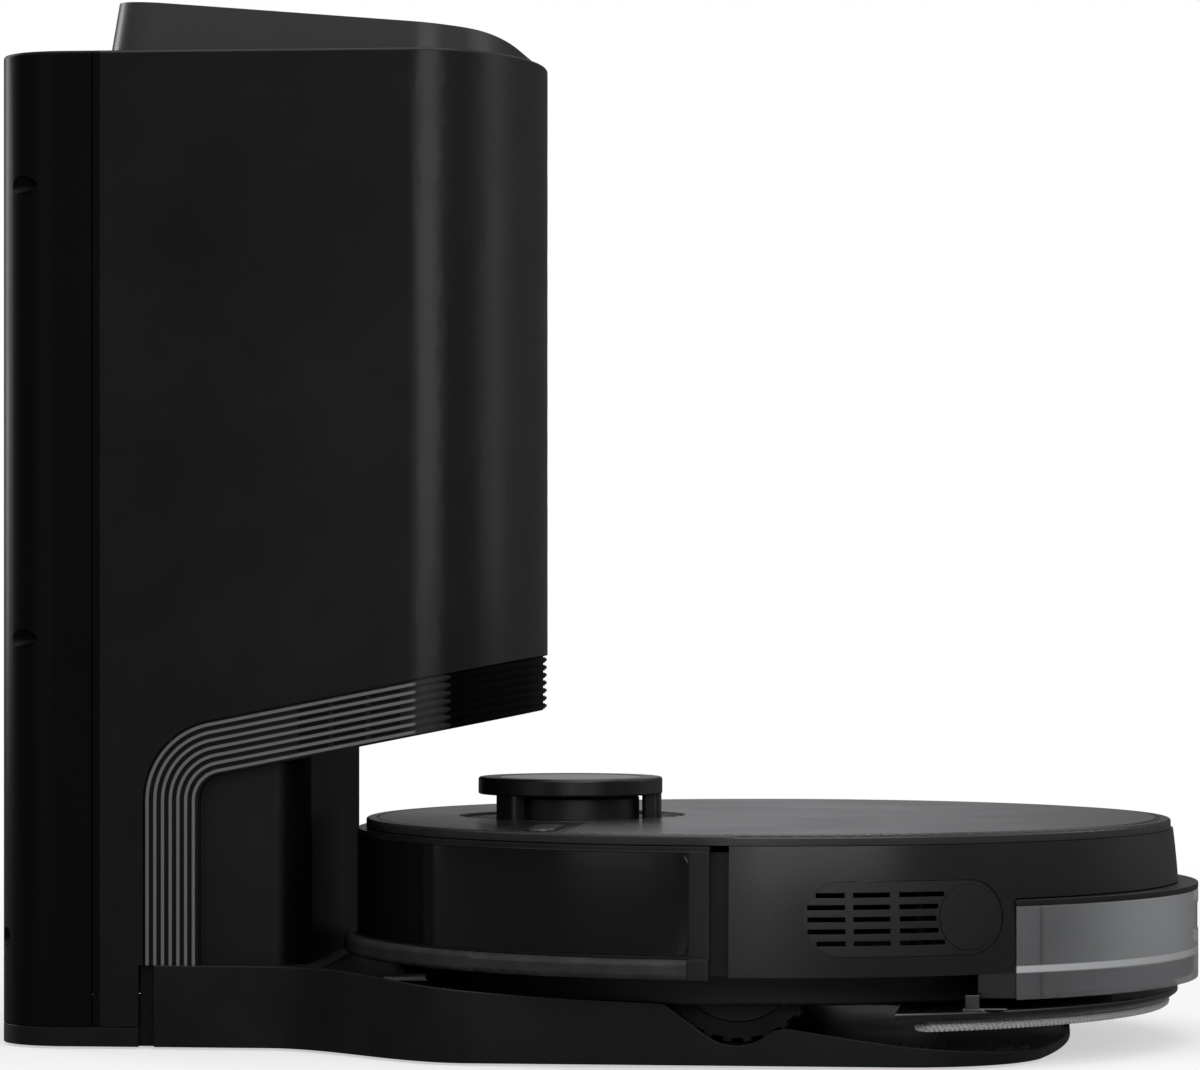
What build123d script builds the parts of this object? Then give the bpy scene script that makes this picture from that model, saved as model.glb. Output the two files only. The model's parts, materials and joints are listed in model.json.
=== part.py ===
from build123d import *
import math
import os

os.makedirs("parts", exist_ok=True)

# Frame: Z up, floor at z = 0. The dock tower stands at -X, the robot sits nose first in the dock, its tail at +X.

# Fits
sliding_gap = 0.3
running_gap = 0.05
seat_gap = 0.15
seam = 0.6

# Dock tower
tower_rear_x = -250.0
tower_front_x = -27.5
tower_half = 88.0
tower_nose = 47.0
tower_corner = 30.0
tower_top = 414.5
tower_bottom = 8.9
wall = 2.5
top_edge_round = 1.4
cover_seam_x = -206.8
leg_foot_x = -187.4
cover_front_x = cover_seam_x - seam / 2
housing_rear_x = cover_seam_x + seam / 2
shoulder_x = tower_front_x - tower_nose

# Ribbed louvre band that follows the cut-away under the tower head
bend_x = -151.6
bend_z = 103.0
bend_inner = 11.0
bend_outer = 33.7
slope = math.radians(11.2)
rib_count = 7
rib_pitch = (bend_outer - bend_inner) / rib_count
groove_inset = 1.9
rib_shoulder_inset = 1.1
rib_crest_inset = 0.4
band_back_inset = 3.6
rib_foot_width = 2.3
rib_crest_width = 1.3
slot_width = 1.1
slot_columns = ((-120.5, -108.0), (-105.5, -92.5), (-90.0, -78.0))
panel_thickness = 2.2

# Dock base
base_top = 34.5
base_under = 0.6
base_rear_x = -181.0
base_half = 146.0
base_front_x = 196.5
base_front_bow = 510.0
base_front_corner = 58.0
flare_start_x = -134.0
flare_end_x = -42.0
kerb = 3.2
floor_z = 8.7
floor_fall = 0.022
caster_x = -42.0
tray_rear_x = -98.0
track_inner_y = 105.0
track_outer_y = 140.0

# Column between base and head
column_front_x = -118.0
column_half = 80.0
column_corner = 15.0

# Lid of the bag bay
lid_bottom = 414.9
lid_half = 80.0
lid_front_x = -33.0
lid_rear_x = -205.5
lid_corner = 28.0
lid_high = 437.2
lid_draft = 3.8
lid_flat_end = -62.0
lid_wall = 2.5
hinge_x = -202.9
hinge_z = 417.9
hinge_pin_r = 1.25
hinge_knuckle_r = 2.6
hinge_half = 50.0
hinge_groove_half = 66.0
lug_y = 36.0
lug_width = 7.0

# Bag bay
bay_rear_x = -192.0
bay_front_x = -60.0
bay_half = 68.0
bay_floor = 232.0
bay_corner = 12.0
bay_wall = 2.0

# Suction duct
duct_half = 22.0
duct_wall = 2.0
duct_front_x = -130.0
duct_back_x = -152.0
duct_rear_x = -236.0
duct_rear_front_x = -214.0
duct_cross_low = 70.0
duct_cross_high = 92.0
duct_foot = 14.0
duct_mouth_low = 339.0
duct_mouth_high = 361.0
hump_inner_y = 52.0
hump_outer_y = 94.0
hump_top = 18.0
hump_front_x = 76.0
port_rear_x = 30.0
port_front_x = 62.0
port_inner_y = 57.0
port_outer_y = 88.0

# Robot
robot_x = 68.0
body_r = 175.0
body_top_r = body_r - 3.0
body_wall = 2.6
body_bottom = 38.0
body_top = 89.6
waist_z = 42.0
lean_radius = ((body_top - waist_z) ** 2 + (body_r - body_top_r) ** 2) / (2 * (body_r - body_top_r))
pan_r = body_r - 29.0
pan_bottom = 24.6
pan_floor = 2.2
pan_wall = 2.5
flange_z = 37.7
flange_thickness = 2.5
front_wall_r = body_r - 12.0
bumper_end = -10.3
body_end = -2.7
window_end = -18.8
bumper_low = 37.2
bumper_step = 45.1
bumper_high = body_top - 2.2
bumper_rim = body_top - 0.2
bumper_skin = 2.6
window_low = bumper_step + 1.1
window_high = bumper_high - 0.6
lip_reach = 5.5
deck_r = body_r - 4.0
deck_under = 89.8
deck_top = 93.6
plate_r = deck_r - 6.0
strip_rear_x = -28.0
strip_front_x = -2.6
bay_wall_rel = 93.0
tank_edge_rel = 109.0
tank_arc_rel = 17.4
tank_arc_r = body_r - 9.8
tank_bottom = 27.1
tank_top = 67.0

# Lidar turret
turret_x = -16.6
cap_r = 39.4
cap_low = 103.0
cap_high = 110.3
rotor_r = 29.5
recess_r = 47.7

# Wheels
wheel_x = 65.5
wheel_z = 43.0
wheel_r = 34.0
tyre_inner_r = 26.0
wheel_inner_y = 111.0
wheel_outer_y = 133.0
arm_inner_y = 97.0
arm_outer_y = 110.4
arm_pivot_x = 20.0
arm_pivot_z = 52.0
axle_r = 4.0


def tower_plan(inset, mode=Mode.ADD):
    """Tower outline in plan: flat back with round corners, straight sides, half-ellipse front."""
    half = tower_half - inset
    rear = tower_rear_x + inset
    corner = tower_corner - inset
    with BuildLine() as outline:
        CenterArc((rear + corner, half - corner), corner, 90, 90)
        Line((rear, half - corner), (rear, corner - half))
        CenterArc((rear + corner, corner - half), corner, 180, 90)
        Line((rear + corner, -half), (shoulder_x, -half))
        EllipticalCenterArc((shoulder_x, 0), tower_nose - inset, half, start_angle=-90, arc_size=180)
        Line((shoulder_x, half), (rear + corner, half))
    make_face(outline.edges(), mode=mode)


def band_path(radius, foot):
    """Points where the cut-away's edge, set off from its bend, starts, turns and ends in side view."""
    tangent = Vector(bend_x - radius * math.sin(slope), bend_z + radius * math.cos(slope))
    run = 1 - tangent.X
    middle = math.pi / 2 + (math.pi / 2 + slope) / 2
    crown = Vector(bend_x + radius * math.cos(middle), bend_z + radius * math.sin(middle))
    start = Vector(bend_x - radius, foot)
    spring = Vector(bend_x - radius, bend_z)
    end = Vector(tangent.X + run, tangent.Y + run * math.tan(slope))
    return start, spring, crown, tangent, end


def band_strip(inner, outer, foot=base_top, mode=Mode.ADD):
    """Region of the side view between two set-off edges of the cut-away."""
    a = band_path(inner, foot)
    b = band_path(outer, foot)
    with BuildLine() as outline:
        Line(a[0], a[1])
        ThreePointArc(a[1], a[2], a[3])
        Line(a[3], a[4])
        Line(a[4], b[4])
        Line(b[4], b[3])
        ThreePointArc(b[3], b[2], b[1])
        Line(b[1], b[0])
        Line(b[0], a[0])
    make_face(outline.edges(), mode=mode)


def base_plan(inset, mode=Mode.ADD):
    """Base outline in plan: narrow block under the column, flared sides, bowed front with round corners."""
    half = base_half - inset
    neck = tower_half - inset
    tip = base_front_x - inset
    end_x = tip - half * half / (2 * base_front_bow)
    middle_x = (flare_start_x + flare_end_x) / 2
    with BuildLine() as outline:
        Line((base_rear_x, neck), (base_rear_x, -neck))
        Line((base_rear_x, -neck), (flare_start_x, -neck))
        Bezier((flare_start_x, -neck), (middle_x - 16, -neck), (middle_x + 13, -half), (flare_end_x, -half))
        Line((flare_end_x, -half), (end_x, -half))
        ThreePointArc((end_x, -half), (tip, 0), (end_x, half))
        Line((end_x, half), (flare_end_x, half))
        Bezier((flare_end_x, half), (middle_x + 13, half), (middle_x - 16, neck), (flare_start_x, neck))
        Line((flare_start_x, neck), (base_rear_x, neck))
    face = make_face(outline.edges(), mode=Mode.PRIVATE)
    corners = [v for v in face.vertices() if abs(v.X - end_x) < 0.01]
    add(face.face().fillet_2d(base_front_corner - inset, corners), mode=mode)


def lid_plan(inset, mode=Mode.ADD):
    """Lid outline in plan, round at the rear corners."""
    half = lid_half - inset
    nose = lid_front_x - shoulder_x - inset
    rear = lid_rear_x + inset
    corner = lid_corner - inset
    with BuildLine() as outline:
        CenterArc((rear + corner, half - corner), corner, 90, 90)
        Line((rear, half - corner), (rear, corner - half))
        CenterArc((rear + corner, corner - half), corner, 180, 90)
        Line((rear + corner, -half), (shoulder_x, -half))
        EllipticalCenterArc((shoulder_x, 0), nose, half, start_angle=-90, arc_size=180)
        Line((shoulder_x, half), (rear + corner, half))
    make_face(outline.edges(), mode=mode)


def lid_form(inset, bottom):
    """Lid volume, drafted inward to the top and cut to the falling side view, as a private part."""
    tip = (lid_front_x - inset, bottom)
    nose = (-40.0 - inset / 2, 421.6 - inset)
    top_front = (lid_flat_end, 425.2 - inset)
    top_rear = (lid_rear_x - 5.0, lid_high + 0.5 - inset)
    with BuildPart() as form:
        with BuildSketch(Plane.XY.offset(lid_bottom)):
            lid_plan(inset)
        with BuildSketch(Plane.XY.offset(lid_high + 2)):
            lid_plan(inset + lid_draft * (lid_high + 2 - lid_bottom) / (lid_high - lid_bottom))
        loft(ruled=True)
        if bottom < lid_bottom:
            with BuildSketch(Plane.XY.offset(bottom)):
                lid_plan(inset)
            extrude(amount=lid_bottom - bottom)
        with BuildSketch(Plane.XZ):
            with BuildLine() as outline:
                Line((top_rear[0], bottom), top_rear)
                Line(top_rear, top_front)
                Spline(top_front, nose, tip, tangents=((1, -0.087), (0.35, -1)))
                Line(tip, (top_rear[0], bottom))
            make_face(outline.edges())
        extrude(amount=2 * lid_half, both=True, mode=Mode.INTERSECT)
    return form.part


def ring_sector(inner, outer, low, high, start, end):
    """Ring about the robot's axis kept between two planes across its length, as a private part."""
    ring = Cylinder(outer, high - low, align=(Align.CENTER, Align.CENTER, Align.MIN), mode=Mode.PRIVATE)
    hole = Cylinder(inner, high - low, align=(Align.CENTER, Align.CENTER, Align.MIN), mode=Mode.PRIVATE)
    keep = Box(end - start, 4 * outer, high - low, align=(Align.MIN, Align.CENTER, Align.MIN), mode=Mode.PRIVATE)
    sector = (ring - hole) & (Pos(start, 0, 0) * keep)
    return Pos(robot_x, 0, low) * sector


def vent_plane(side):
    """Plane on the body wall at the middle of a side vent, facing out."""
    angle = math.radians(22.7)
    out = Vector(math.sin(angle), side * math.cos(angle), 0)
    along = Vector(math.cos(angle), -side * math.sin(angle), 0)
    return Plane(origin=Vector(robot_x, 0, 60.8) + out * (body_r - 12), x_dir=along, z_dir=out)


def save(builder, name):
    builder.part.label = name
    export_step(builder.part, "parts/" + name + ".step")


# ---------------------------------------------------------------- dock tower

with BuildPart() as tower_envelope:
    with BuildSketch(Plane.XY.offset(tower_bottom)):
        tower_plan(0)
    extrude(amount=tower_top - tower_bottom)
    fillet(tower_envelope.faces().sort_by(Axis.Z)[-1].edges(), top_edge_round)

well_places = [(side * 82.0, z) for side in (-1, 1) for z in (359.0, 170.0)]
well_places += [(side * 72.0, 45.0) for side in (-1, 1)]
well_r = 4.15
well_floor_x = -224.0
well_floor = 3.0
screw_r = 1.5
screw_head_r = 3.4
inlet_y = -44.0
inlet_z = 30.0
inlet_width = 25.0
inlet_height = 15.0

with BuildPart() as rear_cover:
    add(tower_envelope.part)
    with Locations((cover_front_x, 0, 0)):
        Box(400, 300, 500, align=(Align.MIN, Align.CENTER, Align.MIN), mode=Mode.SUBTRACT)
    with BuildSketch(Plane.XY.offset(tower_bottom)):
        tower_plan(wall)
    extrude(amount=tower_top - wall - tower_bottom, mode=Mode.SUBTRACT)
    with BuildSketch(Plane.YZ.offset(well_floor_x + well_floor)):
        with Locations(*well_places):
            Circle(well_r + 2)
    extrude(amount=-35)
    with BuildSketch(Plane.XY.offset(tower_bottom - 5)) as outside:
        Rectangle(700, 400)
        tower_plan(0, mode=Mode.SUBTRACT)
    extrude(amount=tower_top, mode=Mode.SUBTRACT)
    with BuildSketch(Plane.YZ.offset(well_floor_x)):
        with Locations(*well_places):
            Circle(well_r)
    extrude(amount=-40, mode=Mode.SUBTRACT)
    with BuildSketch(Plane.YZ.offset(well_floor_x)):
        with Locations(*well_places):
            Circle(screw_r + running_gap)
    extrude(amount=10, mode=Mode.SUBTRACT)
    with BuildSketch(Plane.YZ.offset(tower_rear_x)):
        with Locations((inlet_y, inlet_z)):
            RectangleRounded(inlet_width + 2 * seat_gap, inlet_height + 2 * seat_gap, 4.0)
    extrude(amount=10, both=True, mode=Mode.SUBTRACT)
save(rear_cover, "rear_cover")

with BuildPart() as cover_screws:
    with BuildSketch(Plane.YZ.offset(well_floor_x)):
        with Locations(*well_places):
            Circle(screw_head_r)
    extrude(amount=-2.4)
    with BuildSketch(Plane.YZ.offset(well_floor_x)):
        with Locations(*well_places):
            Circle(screw_r)
    extrude(amount=well_floor + 5)
    with BuildSketch(Plane.YZ.offset(well_floor_x - 2.4)):
        with Locations(*well_places):
            Rectangle(3.6, 0.9)
            Rectangle(0.9, 3.6)
    extrude(amount=1.2, mode=Mode.SUBTRACT)
save(cover_screws, "cover_screws")

with BuildPart() as power_inlet:
    with BuildSketch(Plane.YZ.offset(tower_rear_x + 0.4)):
        with Locations((inlet_y, inlet_z)):
            RectangleRounded(inlet_width, inlet_height, 3.9)
    extrude(amount=22)
    with BuildSketch(Plane.YZ.offset(tower_rear_x + 2.5 + seat_gap)):
        with Locations((inlet_y, inlet_z)):
            RectangleRounded(inlet_width + 6, inlet_height + 6, 5.0)
    extrude(amount=2)
    with BuildSketch(Plane.YZ.offset(tower_rear_x + 0.4)):
        with Locations((inlet_y, inlet_z)):
            SlotOverall(inlet_width - 5, inlet_height - 4.5)
    extrude(amount=16, mode=Mode.SUBTRACT)
    with BuildSketch(Plane.YZ.offset(tower_rear_x + 16.4)):
        with Locations((inlet_y - 4.3, inlet_z), (inlet_y + 4.3, inlet_z)):
            Circle(1.2)
    extrude(amount=-11)
save(power_inlet, "power_inlet")

with BuildPart() as main_housing:
    add(tower_envelope.part)
    with Locations((housing_rear_x, 0, 0)):
        Box(400, 300, 500, align=(Align.MAX, Align.CENTER, Align.MIN), mode=Mode.SUBTRACT)
    with BuildSketch(Plane.XY.offset(tower_bottom)):
        tower_plan(wall)
    extrude(amount=tower_top - wall - tower_bottom, mode=Mode.SUBTRACT)
    edge = band_path(bend_outer + seat_gap, base_top)
    with BuildSketch(Plane.XZ):
        with BuildLine():
            Line((leg_foot_x, 0), (leg_foot_x, base_top))
            Line((leg_foot_x, base_top), edge[0])
            Line(edge[0], edge[1])
            ThreePointArc(edge[1], edge[2], edge[3])
            Line(edge[3], edge[4])
            Line(edge[4], (edge[4].X, 0))
            Line((edge[4].X, 0), (leg_foot_x, 0))
        make_face()
    extrude(amount=120, both=True, mode=Mode.SUBTRACT)
    with BuildSketch(Plane.XY.offset(tower_top - 5)):
        with Locations(((bay_rear_x + bay_front_x) / 2, 0)):
            RectangleRounded(bay_front_x - bay_rear_x - 4, 2 * bay_half - 4, bay_corner)
    extrude(amount=10, mode=Mode.SUBTRACT)
    with Locations((hinge_x, 0, tower_top - 1.2)):
        Box(9.0, 2 * hinge_groove_half, 5, align=(Align.CENTER, Align.CENTER, Align.MIN), mode=Mode.SUBTRACT)
    with BuildSketch(Plane.XZ, mode=Mode.PRIVATE) as lug:
        with Locations((hinge_x, hinge_z)):
            Circle(hinge_knuckle_r - 0.3)
        with Locations((hinge_x, (hinge_z + tower_top - wall) / 2)):
            Rectangle(2 * hinge_knuckle_r - 0.6, hinge_z - tower_top + wall)
        with Locations((hinge_x, hinge_z)):
            Circle(hinge_pin_r + running_gap, mode=Mode.SUBTRACT)
    for y in (-lug_y, lug_y):
        extrude(Pos(0, y, 0) * lug.sketch, amount=lug_width / 2, both=True)
save(main_housing, "main_housing")

with BuildPart() as rib_set:
    for inset, width, depth in (
        (rib_shoulder_inset, rib_foot_width, groove_inset + 0.6),
        (rib_crest_inset, rib_crest_width, groove_inset + 0.6),
    ):
        with BuildSketch(Plane.XZ, mode=Mode.PRIVATE) as strips:
            for i in range(rib_count):
                middle = bend_inner + (i + 0.5) * rib_pitch
                band_strip(middle - width / 2, middle + width / 2)
        with BuildSketch(Plane.XY, mode=Mode.PRIVATE) as skin:
            tower_plan(inset)
            tower_plan(depth, mode=Mode.SUBTRACT)
        ribs = extrude(strips.sketch, amount=120, both=True, mode=Mode.PRIVATE)
        shell = extrude(skin.sketch, amount=300, mode=Mode.PRIVATE)
        add(ribs & shell)

with BuildPart() as louvre_band:
    with BuildSketch(Plane.XZ):
        band_strip(bend_inner, bend_outer)
    extrude(amount=120, both=True)
    with BuildSketch(Plane.XY):
        tower_plan(groove_inset)
        tower_plan(band_back_inset, mode=Mode.SUBTRACT)
    extrude(amount=300, mode=Mode.INTERSECT)
    add(rib_set.part)
    with BuildSketch(Plane.XZ, mode=Mode.PRIVATE) as slots:
        for i in range(rib_count - 1):
            middle = bend_inner + (i + 1) * rib_pitch
            band_strip(middle - slot_width / 2, middle + slot_width / 2)
    with BuildSketch(Plane.XZ, mode=Mode.PRIVATE) as columns:
        for left, right in slot_columns:
            with Locations(((left + right) / 2, 140)):
                Rectangle(right - left, 120)
    vents = extrude(slots.sketch & columns.sketch, amount=120, both=True, mode=Mode.PRIVATE)
    add(vents, mode=Mode.SUBTRACT)
save(louvre_band, "louvre_band")

with BuildPart() as head_underside:
    with BuildSketch(Plane.XZ):
        band_strip(bend_inner, bend_inner + panel_thickness)
    extrude(amount=120, both=True)
    with BuildSketch(Plane.XY):
        tower_plan(band_back_inset + seat_gap)
    extrude(amount=300, mode=Mode.INTERSECT)
    with Locations((bend_x - bend_inner, 0, (duct_cross_low + duct_cross_high) / 2)):
        Box(12, 2 * duct_half + 1, duct_cross_high - duct_cross_low + 1, mode=Mode.SUBTRACT)
save(head_underside, "head_underside")

with BuildPart() as column:
    rear = bend_x - bend_inner + seat_gap
    with BuildSketch(Plane.XY.offset(base_top)):
        with Locations(((rear + column_front_x) / 2, 0)):
            Rectangle(column_front_x - rear, 2 * column_half)
        fillet(vertices().filter_by(lambda v: v.X > -125), column_corner)
    extrude(amount=100)
    with BuildSketch(Plane.XY.offset(base_top)):
        with Locations(((rear + column_front_x) / 2, 0)):
            Rectangle(column_front_x - rear - 2 * wall, 2 * (column_half - wall))
        fillet(vertices().filter_by(lambda v: v.X > -125), column_corner - wall)
    extrude(amount=100, mode=Mode.SUBTRACT)
    top = band_path(bend_inner - seat_gap, base_top)
    with BuildSketch(Plane.XZ):
        with BuildLine():
            Line((rear - 2, top[1].Y), top[1])
            ThreePointArc(top[1], top[2], top[3])
            Line(top[3], top[4])
            Line(top[4], (top[4].X, 200))
            Line((top[4].X, 200), (rear - 2, 200))
            Line((rear - 2, 200), (rear - 2, top[1].Y))
        make_face()
    extrude(amount=120, both=True, mode=Mode.SUBTRACT)
    with Locations((rear, 0, (duct_cross_low + duct_cross_high) / 2)):
        Box(12, 2 * duct_half + 1, duct_cross_high - duct_cross_low + 1, mode=Mode.SUBTRACT)
save(column, "column")

with BuildPart() as bottom_plate:
    with BuildSketch(Plane.XY.offset(base_under)):
        tower_plan(0)
        with Locations((leg_foot_x, 0)):
            Rectangle(400, 300, align=(Align.MIN, Align.CENTER), mode=Mode.SUBTRACT)
    extrude(amount=tower_bottom - base_under - 0.4)
    foot_places = [(-232.0, y) for y in (-60.0, 60.0)]
    with BuildSketch(Plane.XY.offset(base_under)):
        with Locations(*foot_places):
            Circle(8 + seat_gap)
    extrude(amount=1.2, mode=Mode.SUBTRACT)
    with BuildSketch(Plane.XY.offset(base_under + 2.4)):
        tower_plan(wall)
        with Locations((leg_foot_x - wall, 0)):
            Rectangle(400, 300, align=(Align.MIN, Align.CENTER), mode=Mode.SUBTRACT)
    extrude(amount=20, mode=Mode.SUBTRACT)
save(bottom_plate, "bottom_plate")

# ---------------------------------------------------------------- lid and bag bay

lid_outer = lid_form(0, lid_bottom)
lid_inner = lid_form(lid_wall, lid_bottom - 1)

with BuildPart() as dock_lid:
    add(lid_outer)
    add(lid_inner, mode=Mode.SUBTRACT)
    with BuildSketch(Plane.XZ):
        with Locations((hinge_x, hinge_z)):
            Circle(hinge_knuckle_r)
    extrude(amount=hinge_half, both=True)
    with BuildSketch(Plane.XZ):
        with Locations((hinge_x, hinge_z)):
            Circle(hinge_pin_r + running_gap)
    extrude(amount=hinge_half - 2, both=True, mode=Mode.SUBTRACT)
    with Locations((hinge_x, -lug_y, hinge_z), (hinge_x, lug_y, hinge_z)):
        Box(8.0, lug_width + 2 * sliding_gap, 7.4, mode=Mode.SUBTRACT)
save(dock_lid, "dock_lid")

with BuildPart() as lid_hinge_pin:
    with BuildSketch(Plane.XZ):
        with Locations((hinge_x, hinge_z)):
            Circle(hinge_pin_r)
    extrude(amount=hinge_half - 3, both=True)
save(lid_hinge_pin, "lid_hinge_pin")

mouth_z = (duct_mouth_low + duct_mouth_high) / 2

with BuildPart() as bag_chamber:
    with BuildSketch(Plane.XY.offset(bay_floor)):
        with Locations(((bay_rear_x + bay_front_x) / 2, 0)):
            RectangleRounded(bay_front_x - bay_rear_x, 2 * bay_half, bay_corner)
    extrude(amount=tower_top - wall - bay_floor)
    with BuildSketch(Plane.XY.offset(bay_floor + bay_wall)):
        with Locations(((bay_rear_x + bay_front_x) / 2, 0)):
            RectangleRounded(
                bay_front_x - bay_rear_x - 2 * bay_wall,
                2 * bay_half - 2 * bay_wall,
                bay_corner - bay_wall,
            )
    extrude(amount=300, mode=Mode.SUBTRACT)
    with Locations((bay_rear_x, 0, mouth_z)):
        Box(8, 2 * (duct_half - duct_wall), duct_mouth_high - duct_mouth_low - 4, mode=Mode.SUBTRACT)
    with BuildSketch(Plane.XY.offset(bay_floor - 1)):
        with Locations((-105, 0)):
            with GridLocations(9, 9, 5, 5):
                Circle(2.6)
    extrude(amount=6, mode=Mode.SUBTRACT)
save(bag_chamber, "bag_chamber")

collar_x = bay_rear_x + bay_wall

with BuildPart() as bag_collar:
    with BuildSketch(Plane.YZ.offset(collar_x)):
        with Locations((0, mouth_z - 4)):
            RectangleRounded(96, 88, 6)
        with Locations((0, mouth_z)):
            Rectangle(2 * (duct_half - duct_wall), duct_mouth_high - duct_mouth_low - 4, mode=Mode.SUBTRACT)
    extrude(amount=3)
    with Locations((collar_x, 0, mouth_z + 40)):
        Box(9, 30, 4, align=(Align.MIN, Align.CENTER, Align.MIN))
save(bag_collar, "bag_collar")

with BuildPart() as dust_bag:
    with BuildSketch(Plane.XY.offset(bay_floor + bay_wall + 3)):
        with Locations(((collar_x + 3 + bay_front_x - 6) / 2, 0)):
            RectangleRounded(bay_front_x - 6 - collar_x - 3, 2 * bay_half - 14, 20)
    extrude(amount=150)
    fillet(dust_bag.faces().sort_by(Axis.Z)[-1].edges(), 18)
    fillet(dust_bag.faces().sort_by(Axis.Z)[0].edges(), 12)
    with Locations((collar_x + 3, 0, mouth_z)):
        Box(20, 2 * (duct_half - duct_wall) - 2, 14, align=(Align.MIN, Align.CENTER, Align.CENTER), mode=Mode.SUBTRACT)
save(dust_bag, "dust_bag")

motor_x = -108.0
motor_low = 160.0
motor_r = 46.0

with BuildPart() as motor_housing:
    with BuildSketch(Plane.XY.offset(motor_low)):
        with Locations((motor_x, 0)):
            Circle(motor_r)
    extrude(amount=bay_floor - motor_low)
    with BuildSketch(Plane.XY.offset(motor_low + 24)):
        with Locations((motor_x, 0)):
            Circle(motor_r - 3)
    extrude(amount=bay_floor - motor_low - 27, mode=Mode.SUBTRACT)
    with BuildSketch(Plane.XY.offset(motor_low + 20)):
        with Locations((motor_x, 0)):
            Circle(24)
    extrude(amount=100, mode=Mode.SUBTRACT)
    with BuildSketch(Plane.XY.offset(motor_low + 4)):
        with Locations((motor_x, 0)):
            Circle(3 + running_gap)
    extrude(amount=30, mode=Mode.SUBTRACT)
    with BuildSketch(Plane.XZ.offset(-motor_r - 5)):
        with Locations((motor_x, motor_low + 38)):
            RectangleRounded(40, 16, 3)
    extrude(amount=2 * motor_r + 10, mode=Mode.SUBTRACT)
save(motor_housing, "motor_housing")

with BuildPart() as dock_impeller:
    with BuildSketch(Plane.XY.offset(motor_low + 28)):
        with Locations((motor_x, 0)):
            Circle(38)
    extrude(amount=2)
    with BuildSketch(Plane.XY.offset(motor_low + 30)):
        with Locations((motor_x, 0)):
            with PolarLocations(22, 9, rotate=True):
                Rectangle(30, 1.6, rotation=32)
    extrude(amount=18)
    with BuildSketch(Plane.XY.offset(motor_low + 28)):
        with Locations((motor_x, 0)):
            Circle(9)
    extrude(amount=22)
    with BuildSketch(Plane.XY.offset(motor_low + 5)):
        with Locations((motor_x, 0)):
            Circle(3)
    extrude(amount=24)
save(dock_impeller, "dock_impeller")

with BuildPart() as exhaust_filters:
    with BuildSketch(Plane.XZ):
        band_strip(bend_inner + panel_thickness + seat_gap, bend_outer - 2)
    extrude(amount=tower_half - band_back_inset - seat_gap, both=True)
    with Locations((-100, 0, 140)):
        Box(46, 400, 100, mode=Mode.INTERSECT)
    with Locations((-100, 0, 140)):
        Box(60, 2 * (tower_half - band_back_inset - seat_gap - 8), 100, mode=Mode.SUBTRACT)
save(exhaust_filters, "exhaust_filters")

with BuildPart() as suction_duct:
    with BuildSketch(Plane.XZ):
        Polygon(
            (duct_front_x, duct_foot),
            (duct_front_x, duct_cross_high),
            (duct_rear_front_x, duct_cross_high),
            (duct_rear_front_x, duct_mouth_low),
            (bay_rear_x - seat_gap, duct_mouth_low),
            (bay_rear_x - seat_gap, duct_mouth_high),
            (duct_rear_x, duct_mouth_high),
            (duct_rear_x, duct_cross_low),
            (duct_back_x, duct_cross_low),
            (duct_back_x, duct_foot),
        )
    extrude(amount=duct_half, both=True)
    with BuildSketch(Plane.XZ):
        Polygon(
            (duct_front_x - duct_wall, duct_foot - 1),
            (duct_front_x - duct_wall, duct_cross_high - duct_wall),
            (duct_rear_front_x - duct_wall, duct_cross_high - duct_wall),
            (duct_rear_front_x - duct_wall, duct_mouth_low + duct_wall),
            (bay_rear_x + 1, duct_mouth_low + duct_wall),
            (bay_rear_x + 1, duct_mouth_high - duct_wall),
            (duct_rear_x + duct_wall, duct_mouth_high - duct_wall),
            (duct_rear_x + duct_wall, duct_cross_low + duct_wall),
            (duct_back_x + duct_wall, duct_cross_low + duct_wall),
            (duct_back_x + duct_wall, duct_foot - 1),
        )
    extrude(amount=duct_half - duct_wall, both=True, mode=Mode.SUBTRACT)
save(suction_duct, "suction_duct")

# ---------------------------------------------------------------- dock base

contact_x = -61.0
contact_y = 38.0
contact_top = 23.7
contact_length = 10.0
contact_width = 12.0
island_top = 20.0
base_feet = [(-150.0, -60.0), (-150.0, 60.0), (-10.0, -118.0), (-10.0, 118.0), (150.0, -95.0), (150.0, 95.0)]
foot_r = 8.0
track_start_x = 48.0
track_end_x = 192.0
track_fall = 0.02
tread_pitch = 9.0
tread_depth = 1.0


def floor_at(x):
    """Height of the tray's falling floor."""
    return floor_z - floor_fall * (x - caster_x)


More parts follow.
